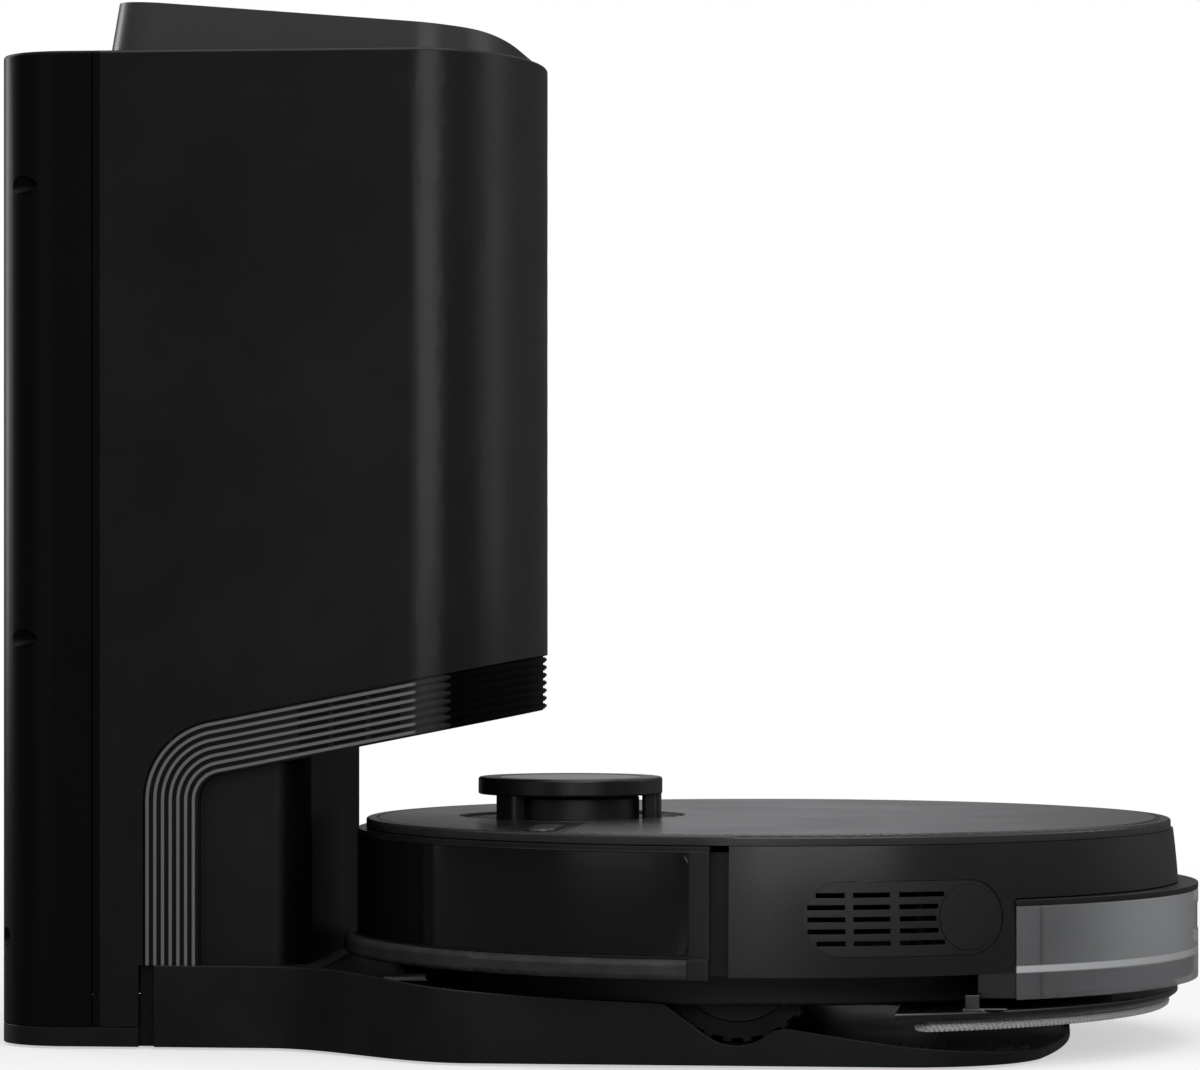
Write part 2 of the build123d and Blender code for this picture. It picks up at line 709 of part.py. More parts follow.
with BuildPart() as base_body:
    with BuildSketch(Plane.XY.offset(base_under)):
        base_plan(0)
    extrude(amount=base_top - base_under)
    with BuildSketch(Plane.XZ):
        with BuildLine():
            Line((-190, 0), (-190, base_top))
            Line((-190, base_top), (-112, base_top))
            Spline((-112, base_top), (-70, 32.0), (-28, 28.6), (37, 25.3), tangents=((1, 0), (1, -0.04)))
            Line((37, 25.3), (53, 13.5))
            ThreePointArc((53, 13.5), (66, 8.9), (80, 14.6))
            Line((80, 14.6), (86, 15.8))
            Spline((86, 15.8), (124, 10.2), (155, 7.0), (198, 4.4), tangents=((1, -0.16), (1, -0.04)))
            Line((198, 4.4), (198, 0))
            Line((198, 0), (-190, 0))
        make_face()
    extrude(amount=200, both=True, mode=Mode.INTERSECT)
    with BuildSketch(Plane.XZ, mode=Mode.PRIVATE) as hollow_side:
        Polygon(
            (tray_rear_x - 12, 60),
            (tray_rear_x - 12, base_top - 4),
            (tray_rear_x, floor_at(tray_rear_x)),
            (210, floor_at(210)),
            (210, 60),
        )
    with BuildSketch(Plane.XY, mode=Mode.PRIVATE) as hollow_plan:
        base_plan(kerb)
        with Locations((180, 0)):
            Rectangle(60, 44)
    tray_space = extrude(hollow_side.sketch, amount=200, both=True, mode=Mode.PRIVATE)
    tray_space = tray_space & extrude(hollow_plan.sketch, amount=60, mode=Mode.PRIVATE)
    add(tray_space, mode=Mode.SUBTRACT)
    with BuildSketch(Plane.XZ.offset(-hump_inner_y)):
        Polygon(
            (tray_rear_x - 14, base_under + 1),
            (tray_rear_x - 14, hump_top),
            (hump_front_x - 8, hump_top),
            (hump_front_x, hump_top - 9),
            (hump_front_x, base_under + 1),
        )
    extrude(amount=-(hump_outer_y - hump_inner_y))
    for side in (-1, 1):
        with BuildSketch(Plane.XZ.offset(-side * contact_y)):
            Polygon(
                (tray_rear_x - 8, base_under + 1),
                (tray_rear_x - 8, island_top),
                (contact_x + 10, island_top),
                (contact_x + 14, base_under + 1),
            )
        extrude(amount=10, both=True)
    with Locations((0, 0, 3)):
        with Locations((-140.5, (hump_outer_y - 24) / 2, 0)):
            Box(19, hump_outer_y + 20, 10.5, align=(Align.CENTER, Align.CENTER, Align.MIN), mode=Mode.SUBTRACT)
        with Locations((-150, (hump_inner_y + hump_outer_y) / 2, 0)):
            Box(218, hump_outer_y - hump_inner_y - 4, 12.5, align=(Align.MIN, Align.CENTER, Align.MIN), mode=Mode.SUBTRACT)
        with Locations(((duct_back_x + duct_front_x) / 2, 0, 0)):
            Box(
                duct_front_x - duct_back_x + 2 * seat_gap,
                2 * (duct_half + seat_gap),
                60,
                align=(Align.CENTER, Align.CENTER, Align.MIN),
                mode=Mode.SUBTRACT,
            )
    with Locations(((port_rear_x + port_front_x) / 2, (port_inner_y + port_outer_y) / 2, hump_top - 5)):
        Box(
            port_front_x - port_rear_x,
            port_outer_y - port_inner_y,
            10,
            align=(Align.CENTER, Align.CENTER, Align.MIN),
            mode=Mode.SUBTRACT,
        )
    for side in (-1, 1):
        with Locations((contact_x, side * contact_y, island_top - 10)):
            Box(
                contact_length + 2 * sliding_gap,
                contact_width + 2 * sliding_gap,
                20,
                align=(Align.CENTER, Align.CENTER, Align.MIN),
                mode=Mode.SUBTRACT,
            )
    with BuildSketch(Plane.XY.offset(base_under)):
        with Locations(*base_feet):
            Circle(foot_r + seat_gap)
    extrude(amount=1.2, mode=Mode.SUBTRACT)
    with BuildSketch(Plane.XY.offset(base_under)):
        with Locations((leg_foot_x, 0)):
            Rectangle(base_rear_x - leg_foot_x + 2, 2 * tower_half - 10, align=(Align.MIN, Align.CENTER))
    extrude(amount=base_top - base_under - 0.6)

with BuildPart() as rim_cut:
    with BuildSketch(Plane.XY):
        base_plan(-2)
        base_plan(kerb, mode=Mode.SUBTRACT)
    extrude(amount=base_top + 1)

with BuildPart() as rim_keep:
    with BuildSketch(Plane.XY):
        base_plan(-2)
        base_plan(kerb - seat_gap, mode=Mode.SUBTRACT)
    extrude(amount=base_top + 1)

with BuildPart() as tray_rear_keep:
    with Locations((tray_rear_x, 0, 0)):
        Box(200, 400, 60, align=(Align.MAX, Align.CENTER, Align.MIN))

with BuildPart() as tray_floor_keep:
    with BuildSketch(Plane.XZ):
        Polygon(
            (tray_rear_x + seat_gap, 0),
            (tray_rear_x + seat_gap, floor_at(tray_rear_x) + 0.01),
            (210, floor_at(210) + 0.01),
            (210, 0),
        )
    extrude(amount=200, both=True)

with BuildPart() as tray_raised_keep:
    with BuildSketch(Plane.XZ):
        Polygon(
            (tray_rear_x + seat_gap, floor_at(tray_rear_x) + seat_gap),
            (tray_rear_x + seat_gap, 60),
            (210, 60),
            (210, floor_at(210) + seat_gap),
        )
    extrude(amount=200, both=True)

# The tray in pieces that seat on each other: rear block, falling floor, suction channel and contact islands
with BuildPart() as base_tray:
    add(base_body.part)
    add(rim_cut.part, mode=Mode.SUBTRACT)
    add(tray_rear_keep.part + tray_floor_keep.part + tray_raised_keep.part, mode=Mode.INTERSECT)
save(base_tray, "base_tray")

with BuildPart() as base_rim:
    add(base_body.part)
    add(rim_keep.part, mode=Mode.INTERSECT)
save(base_rim, "base_rim")

with BuildPart() as wheel_tracks:
    with BuildSketch(Plane.XZ):
        Polygon(
            (track_start_x, floor_at(track_start_x)),
            (track_start_x, floor_z),
            (wheel_x, floor_z),
            (track_end_x, floor_z - track_fall * (track_end_x - wheel_x)),
            (track_end_x, floor_at(track_end_x)),
        )
        for i in range(10):
            groove_x = wheel_x + 30 + tread_pitch * i
            with Locations((groove_x, floor_z - track_fall * (groove_x - wheel_x))):
                Rectangle(3, 2 * tread_depth, mode=Mode.SUBTRACT)
    extrude(amount=200, both=True)
    with BuildSketch(Plane.XY, mode=Mode.PRIVATE) as track_plan:
        base_plan(kerb + seat_gap)
        Rectangle(600, 2 * track_inner_y, mode=Mode.SUBTRACT)
        for side in (-1, 1):
            with Locations((0, side * (track_outer_y + 50))):
                Rectangle(600, 100, mode=Mode.SUBTRACT)
    extrude(track_plan.sketch, amount=60, mode=Mode.INTERSECT)
save(wheel_tracks, "wheel_tracks")

with BuildPart() as rubber_feet:
    with BuildSketch(Plane.XY):
        with Locations(*(base_feet + foot_places)):
            Circle(foot_r)
    extrude(amount=base_under + 1.2)
save(rubber_feet, "rubber_feet")

with BuildPart() as dock_seals:
    with BuildSketch(Plane.XY.offset(tower_top)):
        with Locations(((bay_rear_x + bay_front_x) / 2, 0)):
            RectangleRounded(bay_front_x - bay_rear_x + 4, 2 * bay_half + 4, bay_corner + 4)
            RectangleRounded(bay_front_x - bay_rear_x - 2, 2 * bay_half - 2, bay_corner + 1, mode=Mode.SUBTRACT)
    extrude(amount=2.6)
    with BuildSketch(Plane.XY.offset(hump_top)):
        with Locations(((port_rear_x + port_front_x) / 2, (port_inner_y + port_outer_y) / 2)):
            RectangleRounded(port_front_x - port_rear_x + 6, port_outer_y - port_inner_y + 6, 4)
            Rectangle(port_front_x - port_rear_x, port_outer_y - port_inner_y, mode=Mode.SUBTRACT)
    extrude(amount=1.8)
save(dock_seals, "dock_seals")

with BuildPart() as charging_contacts:
    for side in (-1, 1):
        with Locations((contact_x, side * contact_y, island_top - 10 + 2.2)):
            Box(contact_length, contact_width, contact_top - island_top + 7.8, align=(Align.CENTER, Align.CENTER, Align.MIN))
    fillet(charging_contacts.edges().filter_by(Axis.Y).group_by(Axis.Z)[-1], 1.5)
save(charging_contacts, "charging_contacts")

# ---------------------------------------------------------------- robot body


def wall_section(outer_set, thickness, low, high):
    """Body wall in section at +X: upright at its foot, then leaning in on one long arc."""
    with BuildLine() as outline:
        foot = []
        head = []
        for inset in (outer_set, outer_set + thickness):
            radius = lean_radius - inset
            upright = Line((robot_x + body_r - inset, low), (robot_x + body_r - inset, waist_z))
            lean = JernArc(upright @ 1, (0, 1), radius, math.degrees(math.asin((high - waist_z) / radius)))
            foot.append(upright @ 0)
            head.append(lean @ 1)
        Line(foot[0], foot[1])
        Line(head[0], head[1])
    make_face(outline.edges())


robot_axis = Axis((robot_x, 0, 0), (0, 0, 1))
post_places = [(robot_x - 66, 118), (robot_x - 66, -118), (robot_x + 70, 112), (robot_x + 70, -112)]
post_places += [(robot_x - 122, 52), (robot_x - 122, -52), (robot_x + 87, 0)]
side_brush_x = -24.0
side_brush_y = -92.0
brush_x = 46.0
brush_z = 38.5
brush_r = 15.0
brush_half = 85.0

with BuildPart() as chassis:
    with BuildSketch(Plane.XY.offset(pan_bottom)):
        with Locations((robot_x, 0)):
            Circle(pan_r)
    extrude(amount=pan_floor)
    fillet(chassis.faces().sort_by(Axis.Z)[0].edges(), 1.2)
    add(ring_sector(pan_r - pan_wall, pan_r, pan_bottom + pan_floor - 0.4, flange_z, -pan_r - 1, bay_wall_rel))
    add(ring_sector(pan_r - pan_wall, body_r - body_wall - 0.2, flange_z, flange_z + flange_thickness, body_end, bay_wall_rel))
    add(ring_sector(pan_r - pan_wall, front_wall_r, flange_z, flange_z + flange_thickness, -body_r, body_end))
    add(ring_sector(front_wall_r - 2.5, front_wall_r, flange_z, 86.8, -body_r, body_end))
    for radius, low, high in ((pan_r - 0.5, pan_bottom + pan_floor, flange_z + 1), (body_r - 4.2, flange_z, tank_top)):
        add(ring_sector(1, radius, low, high, bay_wall_rel - 2.2, bay_wall_rel))
    with BuildSketch(Plane.XY.offset(pan_bottom + 1)):
        with Locations(*post_places):
            Circle(4)
    extrude(amount=deck_under - pan_bottom - 1)
    with BuildSketch(Plane.XY.offset(pan_bottom)):
        with Locations((caster_x, 0)):
            Circle(24.5)
    extrude(amount=10, mode=Mode.SUBTRACT)
    with BuildSketch(Plane.XY.offset(pan_bottom)):
        with Locations((caster_x, 0)):
            Circle(26.5)
            Circle(24.5, mode=Mode.SUBTRACT)
    extrude(amount=20)
    with BuildSketch(Plane.XY.offset(pan_bottom + 18)):
        with Locations((caster_x, 0)):
            Circle(26.5)
    extrude(amount=2.5)
    with BuildSketch(Plane.XY.offset(pan_bottom + 18)):
        with Locations((caster_x, 0)):
            Circle(9)
    extrude(amount=10)
    with BuildSketch(Plane.XY.offset(pan_bottom + 10)):
        with Locations((caster_x, 0)):
            Circle(5 + running_gap)
    extrude(amount=30, mode=Mode.SUBTRACT)
    for side in (-1, 1):
        with Locations((wheel_x, side * 122.2, pan_bottom - 1)):
            Box(74, 26.4, 20, align=(Align.CENTER, Align.CENTER, Align.MIN), mode=Mode.SUBTRACT)
        with Locations((arm_pivot_x, side * 93.5, pan_bottom + 1)):
            Box(14, 4, arm_pivot_z + 7 - pan_bottom - 1, align=(Align.CENTER, Align.CENTER, Align.MIN))
    with BuildSketch(Plane.XZ):
        with Locations((arm_pivot_x, arm_pivot_z)):
            Circle(axle_r + running_gap)
    extrude(amount=100, both=True, mode=Mode.SUBTRACT)
    with Locations((brush_x, 0, pan_bottom - 1)):
        Box(36, 2 * brush_half + 2, 5, align=(Align.CENTER, Align.CENTER, Align.MIN), mode=Mode.SUBTRACT)
    with BuildSketch(Plane.XY.offset(pan_bottom + 1)):
        with Locations((side_brush_x, side_brush_y)):
            Circle(9)
    extrude(amount=12)
    with BuildSketch(Plane.XY.offset(pan_bottom - 1)):
        with Locations((side_brush_x, side_brush_y)):
            Circle(4 + running_gap)
    extrude(amount=30, mode=Mode.SUBTRACT)
save(chassis, "chassis")

with BuildPart() as body_shell:
    with BuildSketch(Plane.XZ):
        wall_section(0, body_wall, body_bottom, body_top)
    revolve(axis=robot_axis)
    with Locations((robot_x + body_end, 0, 0)):
        Box(400, 400, 200, align=(Align.MAX, Align.CENTER, Align.MIN), mode=Mode.SUBTRACT)
    with Locations((robot_x + tank_edge_rel, 0, 0)):
        Box(400, 400, tank_top + 0.6, align=(Align.MIN, Align.CENTER, Align.MIN), mode=Mode.SUBTRACT)
    with BuildSketch(Plane.XY.offset(tank_top + 0.6)):
        with Locations((robot_x, 0)):
            Circle(body_top_r + 0.5)
        with Locations((robot_x + bay_wall_rel, 0)):
            Rectangle(300, 400, align=(Align.MAX, Align.CENTER), mode=Mode.SUBTRACT)
    extrude(amount=1.8)
    for side in (-1, 1):
        with BuildSketch(vent_plane(side)):
            SlotOverall(84, 30)
        extrude(amount=30, mode=Mode.SUBTRACT)
save(body_shell, "body_shell")

vent_rows = [-9.5, -4.75, 0.0, 4.75, 9.5]
vent_columns = [(-40.3, -25.4), (-22.2, -7.2)]
last_slot_start = -3.4
disc_along = 26.7
disc_r = 13.0
disc_land = 1.4


def slot_end(row):
    """End of the last slot of a row, short of the disc."""
    return disc_along - math.sqrt((disc_r + disc_land) ** 2 - row ** 2)


with BuildPart() as vent_plates:
    with BuildSketch(Plane.XZ):
        wall_section(0.5, body_wall - 0.7, body_bottom, body_top)
    revolve(axis=robot_axis)
    slots_near = []
    for side in (-1, 1):
        with BuildSketch(vent_plane(side), mode=Mode.PRIVATE) as stadium:
            SlotOverall(84 - 2 * seat_gap, 30 - 2 * seat_gap)
            with Locations((disc_along, 0)):
                Circle(disc_r + seat_gap, mode=Mode.SUBTRACT)
            for row in vent_rows:
                for left, right in vent_columns + [(last_slot_start, slot_end(row))]:
                    start = left + (3.4 if abs(row) > 9 and left < -30 else 0)
                    with Locations(((start + right) / 2, row)):
                        Rectangle(right - start, 2.0, mode=Mode.SUBTRACT)
        slots_near.append(extrude(stadium.sketch, amount=30, mode=Mode.PRIVATE))
    add(slots_near[0] + slots_near[1], mode=Mode.INTERSECT)
save(vent_plates, "vent_plates")

with BuildPart() as vent_discs:
    with BuildSketch(Plane.XZ):
        wall_section(0.2, body_wall - 0.4, body_bottom, body_top)
    revolve(axis=robot_axis)
    discs = []
    for side in (-1, 1):
        with BuildSketch(vent_plane(side), mode=Mode.PRIVATE) as disc:
            with Locations((disc_along, 0)):
                Circle(disc_r)
        discs.append(extrude(disc.sketch, amount=30, mode=Mode.PRIVATE))
    add(discs[0] + discs[1], mode=Mode.INTERSECT)
save(vent_discs, "vent_discs")

button_y = 105.0
button_length = 46.0
button_width = 12.0
strip_x = (strip_rear_x + strip_front_x) / 2

with BuildPart() as top_cover:
    with BuildSketch(Plane.XY.offset(deck_under)):
        with Locations((robot_x, 0)):
            Circle(deck_r)
    extrude(amount=deck_top - deck_under)
    fillet(top_cover.faces().sort_by(Axis.Z)[-1].edges(), 1.0)
    with BuildSketch(Plane.XY.offset(deck_top - 0.5)):
        with Locations((robot_x, 0)):
            Circle(plate_r + 1.6)
            Circle(plate_r + 0.8, mode=Mode.SUBTRACT)
    extrude(amount=2, mode=Mode.SUBTRACT)
    with BuildSketch(Plane.XY.offset(deck_top - 1.2)):
        with Locations((robot_x, 0)):
            Circle(plate_r)
        with Locations((strip_front_x, 0)):
            Rectangle(400, 400, align=(Align.MAX, Align.CENTER), mode=Mode.SUBTRACT)
    extrude(amount=3, mode=Mode.SUBTRACT)
    with BuildSketch(Plane.XY.offset(deck_top - 0.8)):
        with Locations((robot_x, 0)):
            Circle(plate_r)
        with Locations((strip_x, 0)):
            Rectangle(strip_front_x - strip_rear_x, 400, mode=Mode.INTERSECT)
    extrude(amount=3, mode=Mode.SUBTRACT)
    with BuildSketch(Plane.XY.offset(deck_top - 2.2)):
        with Locations((turret_x, 0)):
            Circle(recess_r)
    extrude(amount=5, mode=Mode.SUBTRACT)
    with BuildSketch(Plane.XY.offset(deck_under - 1)):
        with Locations((turret_x, 0)):
            Circle(12)
        with Locations((strip_x, -button_y), (strip_x, button_y)):
            SlotOverall(button_length + 2 * sliding_gap, button_width + 2 * sliding_gap, rotation=90)
    extrude(amount=10, mode=Mode.SUBTRACT)
save(top_cover, "top_cover")

for name, side in (("power_button", -1), ("home_button", 1)):
    with BuildPart() as button:
        with BuildSketch(Plane.XY.offset(deck_under - 1.4)):
            with Locations((strip_x, side * button_y)):
                SlotOverall(button_length + 2.4, button_width + 2.4, rotation=90)
        extrude(amount=1.1)
        with BuildSketch(Plane.XY.offset(deck_under - 1)):
            with Locations((strip_x, side * button_y)):
                SlotOverall(button_length, button_width, rotation=90)
        extrude(amount=deck_top - deck_under + 1.2)
        fillet(button.faces().sort_by(Axis.Z)[-1].edges(), 0.6)
    save(button, name)

with BuildPart() as top_plate:
    with BuildSketch(Plane.XY.offset(deck_top - 1.2)):
        with Locations((robot_x, 0)):
            Circle(plate_r - seat_gap)
        with Locations((strip_front_x + seat_gap, 0)):
            Rectangle(400, 400, align=(Align.MAX, Align.CENTER), mode=Mode.SUBTRACT)
        with Locations((turret_x, 0)):
            Circle(recess_r + 1.2, mode=Mode.SUBTRACT)
    extrude(amount=1.6)
    fillet(top_plate.faces().sort_by(Axis.Z)[-1].edges(), 0.5)
    with Locations((217, -46, deck_top)):
        Cylinder(1.2, 2, mode=Mode.SUBTRACT)
save(top_plate, "top_plate")

# ---------------------------------------------------------------- bumper

with BuildPart() as bumper_shell:
    add(ring_sector(body_r - bumper_skin, body_r, bumper_step, bumper_high, -body_r - 5, bumper_end))
    add(ring_sector(body_r - 8.5, body_r - 0.4, bumper_high - 0.2, bumper_rim, -body_r - 5, bumper_end))
    add(ring_sector(body_r - bumper_skin, body_r - 0.7, bumper_low - 0.2, bumper_step, -body_r - 5, window_end))
    add(ring_sector(body_r - bumper_skin, body_r + lip_reach - 0.2, bumper_low, bumper_step, window_end, bumper_end))
    add(
        ring_sector(body_r - 1.5, body_r + 1, window_low - 0.2, window_high + 0.2, -body_r - 5, window_end + 0.2),
        mode=Mode.SUBTRACT,
    )
save(bumper_shell, "bumper_shell")

with BuildPart() as bumper_window:
    add(ring_sector(body_r - 1.4, body_r, window_low, window_high, -body_r - 5, window_end))
    with BuildSketch(Plane.XZ):
        with Locations((robot_x + window_end, (window_low + window_high) / 2)):
            Rectangle(3 * body_r, window_high - window_low, align=(Align.MAX, Align.CENTER))
        fillet(vertices().filter_by(lambda v: v.X > 0), 4.5)
    extrude(amount=body_r + 30, both=True, mode=Mode.INTERSECT)
save(bumper_window, "bumper_window")

with BuildPart() as bumper_lip:
    with BuildSketch(Plane.XZ):
        with Locations((robot_x + body_r - 0.55, (bumper_low + bumper_step) / 2 - 0.15)):
            Rectangle(lip_reach + 0.55, bumper_step - bumper_low - 0.1, align=(Align.MIN, Align.CENTER))
        fillet(vertices().filter_by(lambda v: v.X > robot_x + body_r + 2), 2.2)
    revolve(axis=robot_axis)
    with Locations((robot_x + window_end - seat_gap, 0, 0)):
        Box(3 * body_r, 3 * body_r, 200, align=(Align.MIN, Align.CENTER, Align.MIN), mode=Mode.SUBTRACT)
save(bumper_lip, "bumper_lip")

# ---------------------------------------------------------------- lidar turret

with BuildPart() as lidar_base:
    with BuildSketch(Plane.XY.offset(deck_top - 2.2)):
        with Locations((turret_x, 0)):
            Circle(recess_r - 0.4)
    extrude(amount=1.2)
    with BuildSketch(Plane.XY.offset(deck_top - 1.0)):
        with Locations((turret_x, 0)):
            Circle(recess_r - 0.4)
            Circle(recess_r - 2.4, mode=Mode.SUBTRACT)
    extrude(amount=0.8)
    with BuildSketch(Plane.XY.offset(deck_under - 6)):
        with Locations((turret_x, 0)):
            Circle(11.5)
    extrude(amount=8)
    with BuildSketch(Plane.XY.offset(deck_under - 8)):
        with Locations((turret_x, 0)):
            Circle(8 + running_gap)
    extrude(amount=20, mode=Mode.SUBTRACT)
save(lidar_base, "lidar_base")

with BuildPart() as lidar_rotor:
    with BuildSketch(Plane.XY.offset(deck_top - 0.7)):
        with Locations((turret_x, 0)):
            Circle(rotor_r)
    extrude(amount=cap_low - 1.0 - deck_top + 0.7)
    fillet(lidar_rotor.faces().sort_by(Axis.Z)[-1].edges(), 1.0)
    with Locations((turret_x - rotor_r, 0, deck_top + 4.4)):
        Box(16, 26, 5.6, mode=Mode.SUBTRACT)
    with BuildSketch(Plane.XY.offset(deck_under - 5)):
        with Locations((turret_x, 0)):
            Circle(8)
    extrude(amount=10)
save(lidar_rotor, "lidar_rotor")

with BuildPart() as lidar_cap:
    with BuildSketch(Plane.XY.offset(cap_low)):
        with Locations((turret_x, 0)):
            Circle(cap_r)
    extrude(amount=cap_high - cap_low)
    fillet(lidar_cap.faces().sort_by(Axis.Z)[-1].edges(), 1.2)
    fillet(lidar_cap.faces().sort_by(Axis.Z)[0].edges(), 0.8)
    with BuildSketch(Plane.XY.offset(cap_high - 0.9)):
        with Locations((turret_x, 0)):
            Circle(30.6)
    extrude(amount=3, mode=Mode.SUBTRACT)
    with BuildSketch(Plane.XY.offset(deck_top - 1.0)):
        with Locations((turret_x, 0)):
            for turn in (0, 130, 230):
                with PolarLocations(35.0, 1, start_angle=turn):
                    RectangleRounded(7.6, 12, 2)
    extrude(amount=cap_low - deck_top + 2)
save(lidar_cap, "lidar_cap")

with BuildPart() as cap_disc:
    with BuildSketch(Plane.XY.offset(cap_high - 0.9)):
        with Locations((turret_x, 0)):
            Circle(30.6 - seat_gap)
    extrude(amount=0.8)
save(cap_disc, "cap_disc")

# ---------------------------------------------------------------- wheels, caster, brushes

for word, side in (("near", -1), ("far", 1)):
    with BuildPart() as tyre:
        with BuildSketch(Plane.XZ.offset(-side * wheel_inner_y)):
            with Locations((wheel_x, wheel_z)):
                Circle(wheel_r - 1.6)
                with PolarLocations(wheel_r - 2, 26):
                    Rectangle(4, 3.4)
                Circle(tyre_inner_r, mode=Mode.SUBTRACT)
        extrude(amount=-side * (wheel_outer_y - wheel_inner_y))
    save(tyre, "tyre_" + word)

    with BuildPart() as hub:
        with BuildSketch(Plane.XZ.offset(-side * (wheel_inner_y + 1))):
            with Locations((wheel_x, wheel_z)):
                Circle(tyre_inner_r - running_gap)
        extrude(amount=-side * (wheel_outer_y - wheel_inner_y - 3))
        with BuildSketch(Plane.XZ.offset(-side * (wheel_outer_y - 5))):
            with Locations((wheel_x, wheel_z)):
                with PolarLocations(16, 6):
                    Circle(5)
        extrude(amount=-side * 10, mode=Mode.SUBTRACT)
        with BuildSketch(Plane.XZ.offset(-side * (arm_inner_y + 1))):
            with Locations((wheel_x, wheel_z)):
                Circle(axle_r)
        extrude(amount=-side * 20)
    save(hub, "wheel_hub_" + word)

    with BuildPart() as arm:
        with BuildSketch(Plane.XZ.offset(-side * arm_inner_y)):
            with Locations((arm_pivot_x, arm_pivot_z)):
                Circle(11)
            with Locations((wheel_x, wheel_z)):
                Circle(13)
            make_hull()
            with Locations((wheel_x, wheel_z)):
                Circle(axle_r + running_gap, mode=Mode.SUBTRACT)
        extrude(amount=-side * (arm_outer_y - arm_inner_y))
        with BuildSketch(Plane.XZ.offset(-side * 91.5)):
            with Locations((arm_pivot_x, arm_pivot_z)):
                Circle(axle_r)
        extrude(amount=-side * 8)
    save(arm, "wheel_arm_" + word)

caster_wheel_x = caster_x + 8.0
caster_r = 13.0
caster_z = 22.0

with BuildPart() as caster_fork:
    for side in (-1, 1):
        with BuildSketch(Plane.XZ.offset(-side * 9.8)):
            with Locations((caster_wheel_x, caster_z)):
                Circle(5)
            with Locations((caster_x, 39)):
                Rectangle(18, 4)
            make_hull()
            with Locations((caster_wheel_x, caster_z)):
                Circle(2 + running_gap, mode=Mode.SUBTRACT)
        extrude(amount=1.2, both=True)
    with Locations((caster_x, 0, 37)):
        Box(18, 20, 4, align=(Align.CENTER, Align.CENTER, Align.MIN))
    with BuildSketch(Plane.XY.offset(38)):
        with Locations((caster_x, 0)):
            Circle(5)
    extrude(amount=pan_bottom + 29 - 38)
save(caster_fork, "caster_fork")

with BuildPart() as caster_wheel:
    with BuildSketch(Plane.XZ.offset(-8)):
        with Locations((caster_wheel_x, caster_z)):
            Circle(caster_r)
    extrude(amount=16)
    fillet(caster_wheel.edges().filter_by(GeomType.CIRCLE), 3)
    with BuildSketch(Plane.XZ.offset(-11)):
        with Locations((caster_wheel_x, caster_z)):
            Circle(2)
    extrude(amount=22)
save(caster_wheel, "caster_wheel")

with BuildPart() as side_brush_hub:
    with BuildSketch(Plane.XY.offset(20.6)):
        with Locations((side_brush_x, side_brush_y)):
            Circle(11)
    extrude(amount=3.7)
    fillet(side_brush_hub.faces().sort_by(Axis.Z)[0].edges(), 1.2)
    with BuildSketch(Plane.XY.offset(21.0)):
        with Locations((side_brush_x, side_brush_y)):
            with PolarLocations(18, 3):
                Rectangle(18, 6)
    extrude(amount=2.6)
    with BuildSketch(Plane.XY.offset(22)):
        with Locations((side_brush_x, side_brush_y)):
            Circle(4)
    extrude(amount=15)
save(side_brush_hub, "side_brush_hub")

with BuildPart() as side_brush_bristles:
    with BuildSketch(Plane.XY.offset(21.4)):
        with Locations((side_brush_x, side_brush_y)):
            with PolarLocations(27.1, 3):
                Polygon((0, -2.2), (17.5, -6.5), (17.5, 6.5), (0, 2.2))
    extrude(amount=1.6)
save(side_brush_bristles, "side_brush_bristles")

with BuildPart() as brush_housing:
    with Locations((brush_x, 0, pan_bottom + pan_floor)):
        Box(42, 2 * brush_half + 10, 30, align=(Align.CENTER, Align.CENTER, Align.MIN))
    with BuildSketch(Plane.XZ):
        with Locations((brush_x, brush_z)):
            Circle(brush_r + 1.5)
            Rectangle(2 * brush_r + 3, 20, align=(Align.CENTER, Align.MAX))
    extrude(amount=brush_half + 1, both=True, mode=Mode.SUBTRACT)
    with BuildSketch(Plane.XZ):
        with Locations((brush_x, brush_z)):
            Circle(4 + running_gap)
    extrude(amount=brush_half + 3.5, both=True, mode=Mode.SUBTRACT)
save(brush_housing, "brush_housing")

with BuildPart() as main_brush:
    with BuildSketch(Plane.XZ.offset(-brush_half)):
        with Locations((brush_x, brush_z)):
            Circle(8)
    extrude(amount=2 * brush_half)
    with BuildSketch(Plane.XZ.offset(-brush_half - 3)):
        with Locations((brush_x, brush_z)):
            Circle(4)
    extrude(amount=2 * brush_half + 6)
    with BuildSketch(Plane.XZ):
        with Locations((brush_x, brush_z)):
            with PolarLocations(11.2, 6):
                Rectangle(7.6, 1.8)
    extrude(amount=brush_half - 1, both=True)
save(main_brush, "main_brush")

with BuildPart() as brush_cover:
    with BuildSketch(Plane.XY.offset(21.6)):
        with Locations((brush_x, 0)):
            RectangleRounded(48, 2 * brush_half + 18, 4)
            Rectangle(32, 2 * brush_half, mode=Mode.SUBTRACT)
    extrude(amount=pan_bottom - 21.6)
    with BuildSketch(Plane.XY.offset(21.6)):
        with Locations((brush_x, 0)):
            with GridLocations(1, 42, 1, 3):
                Rectangle(33, 2.4)
    extrude(amount=1.4)
save(brush_cover, "brush_cover")

with BuildPart() as charge_pads:
    for side in (-1, 1):
        with Locations((contact_x, side * contact_y, contact_top + sliding_gap)):
            Box(16, 14, pan_bottom - contact_top - sliding_gap, align=(Align.CENTER, Align.CENTER, Align.MIN))
save(charge_pads, "charge_pads")

# ---------------------------------------------------------------- tank, mop and inner parts


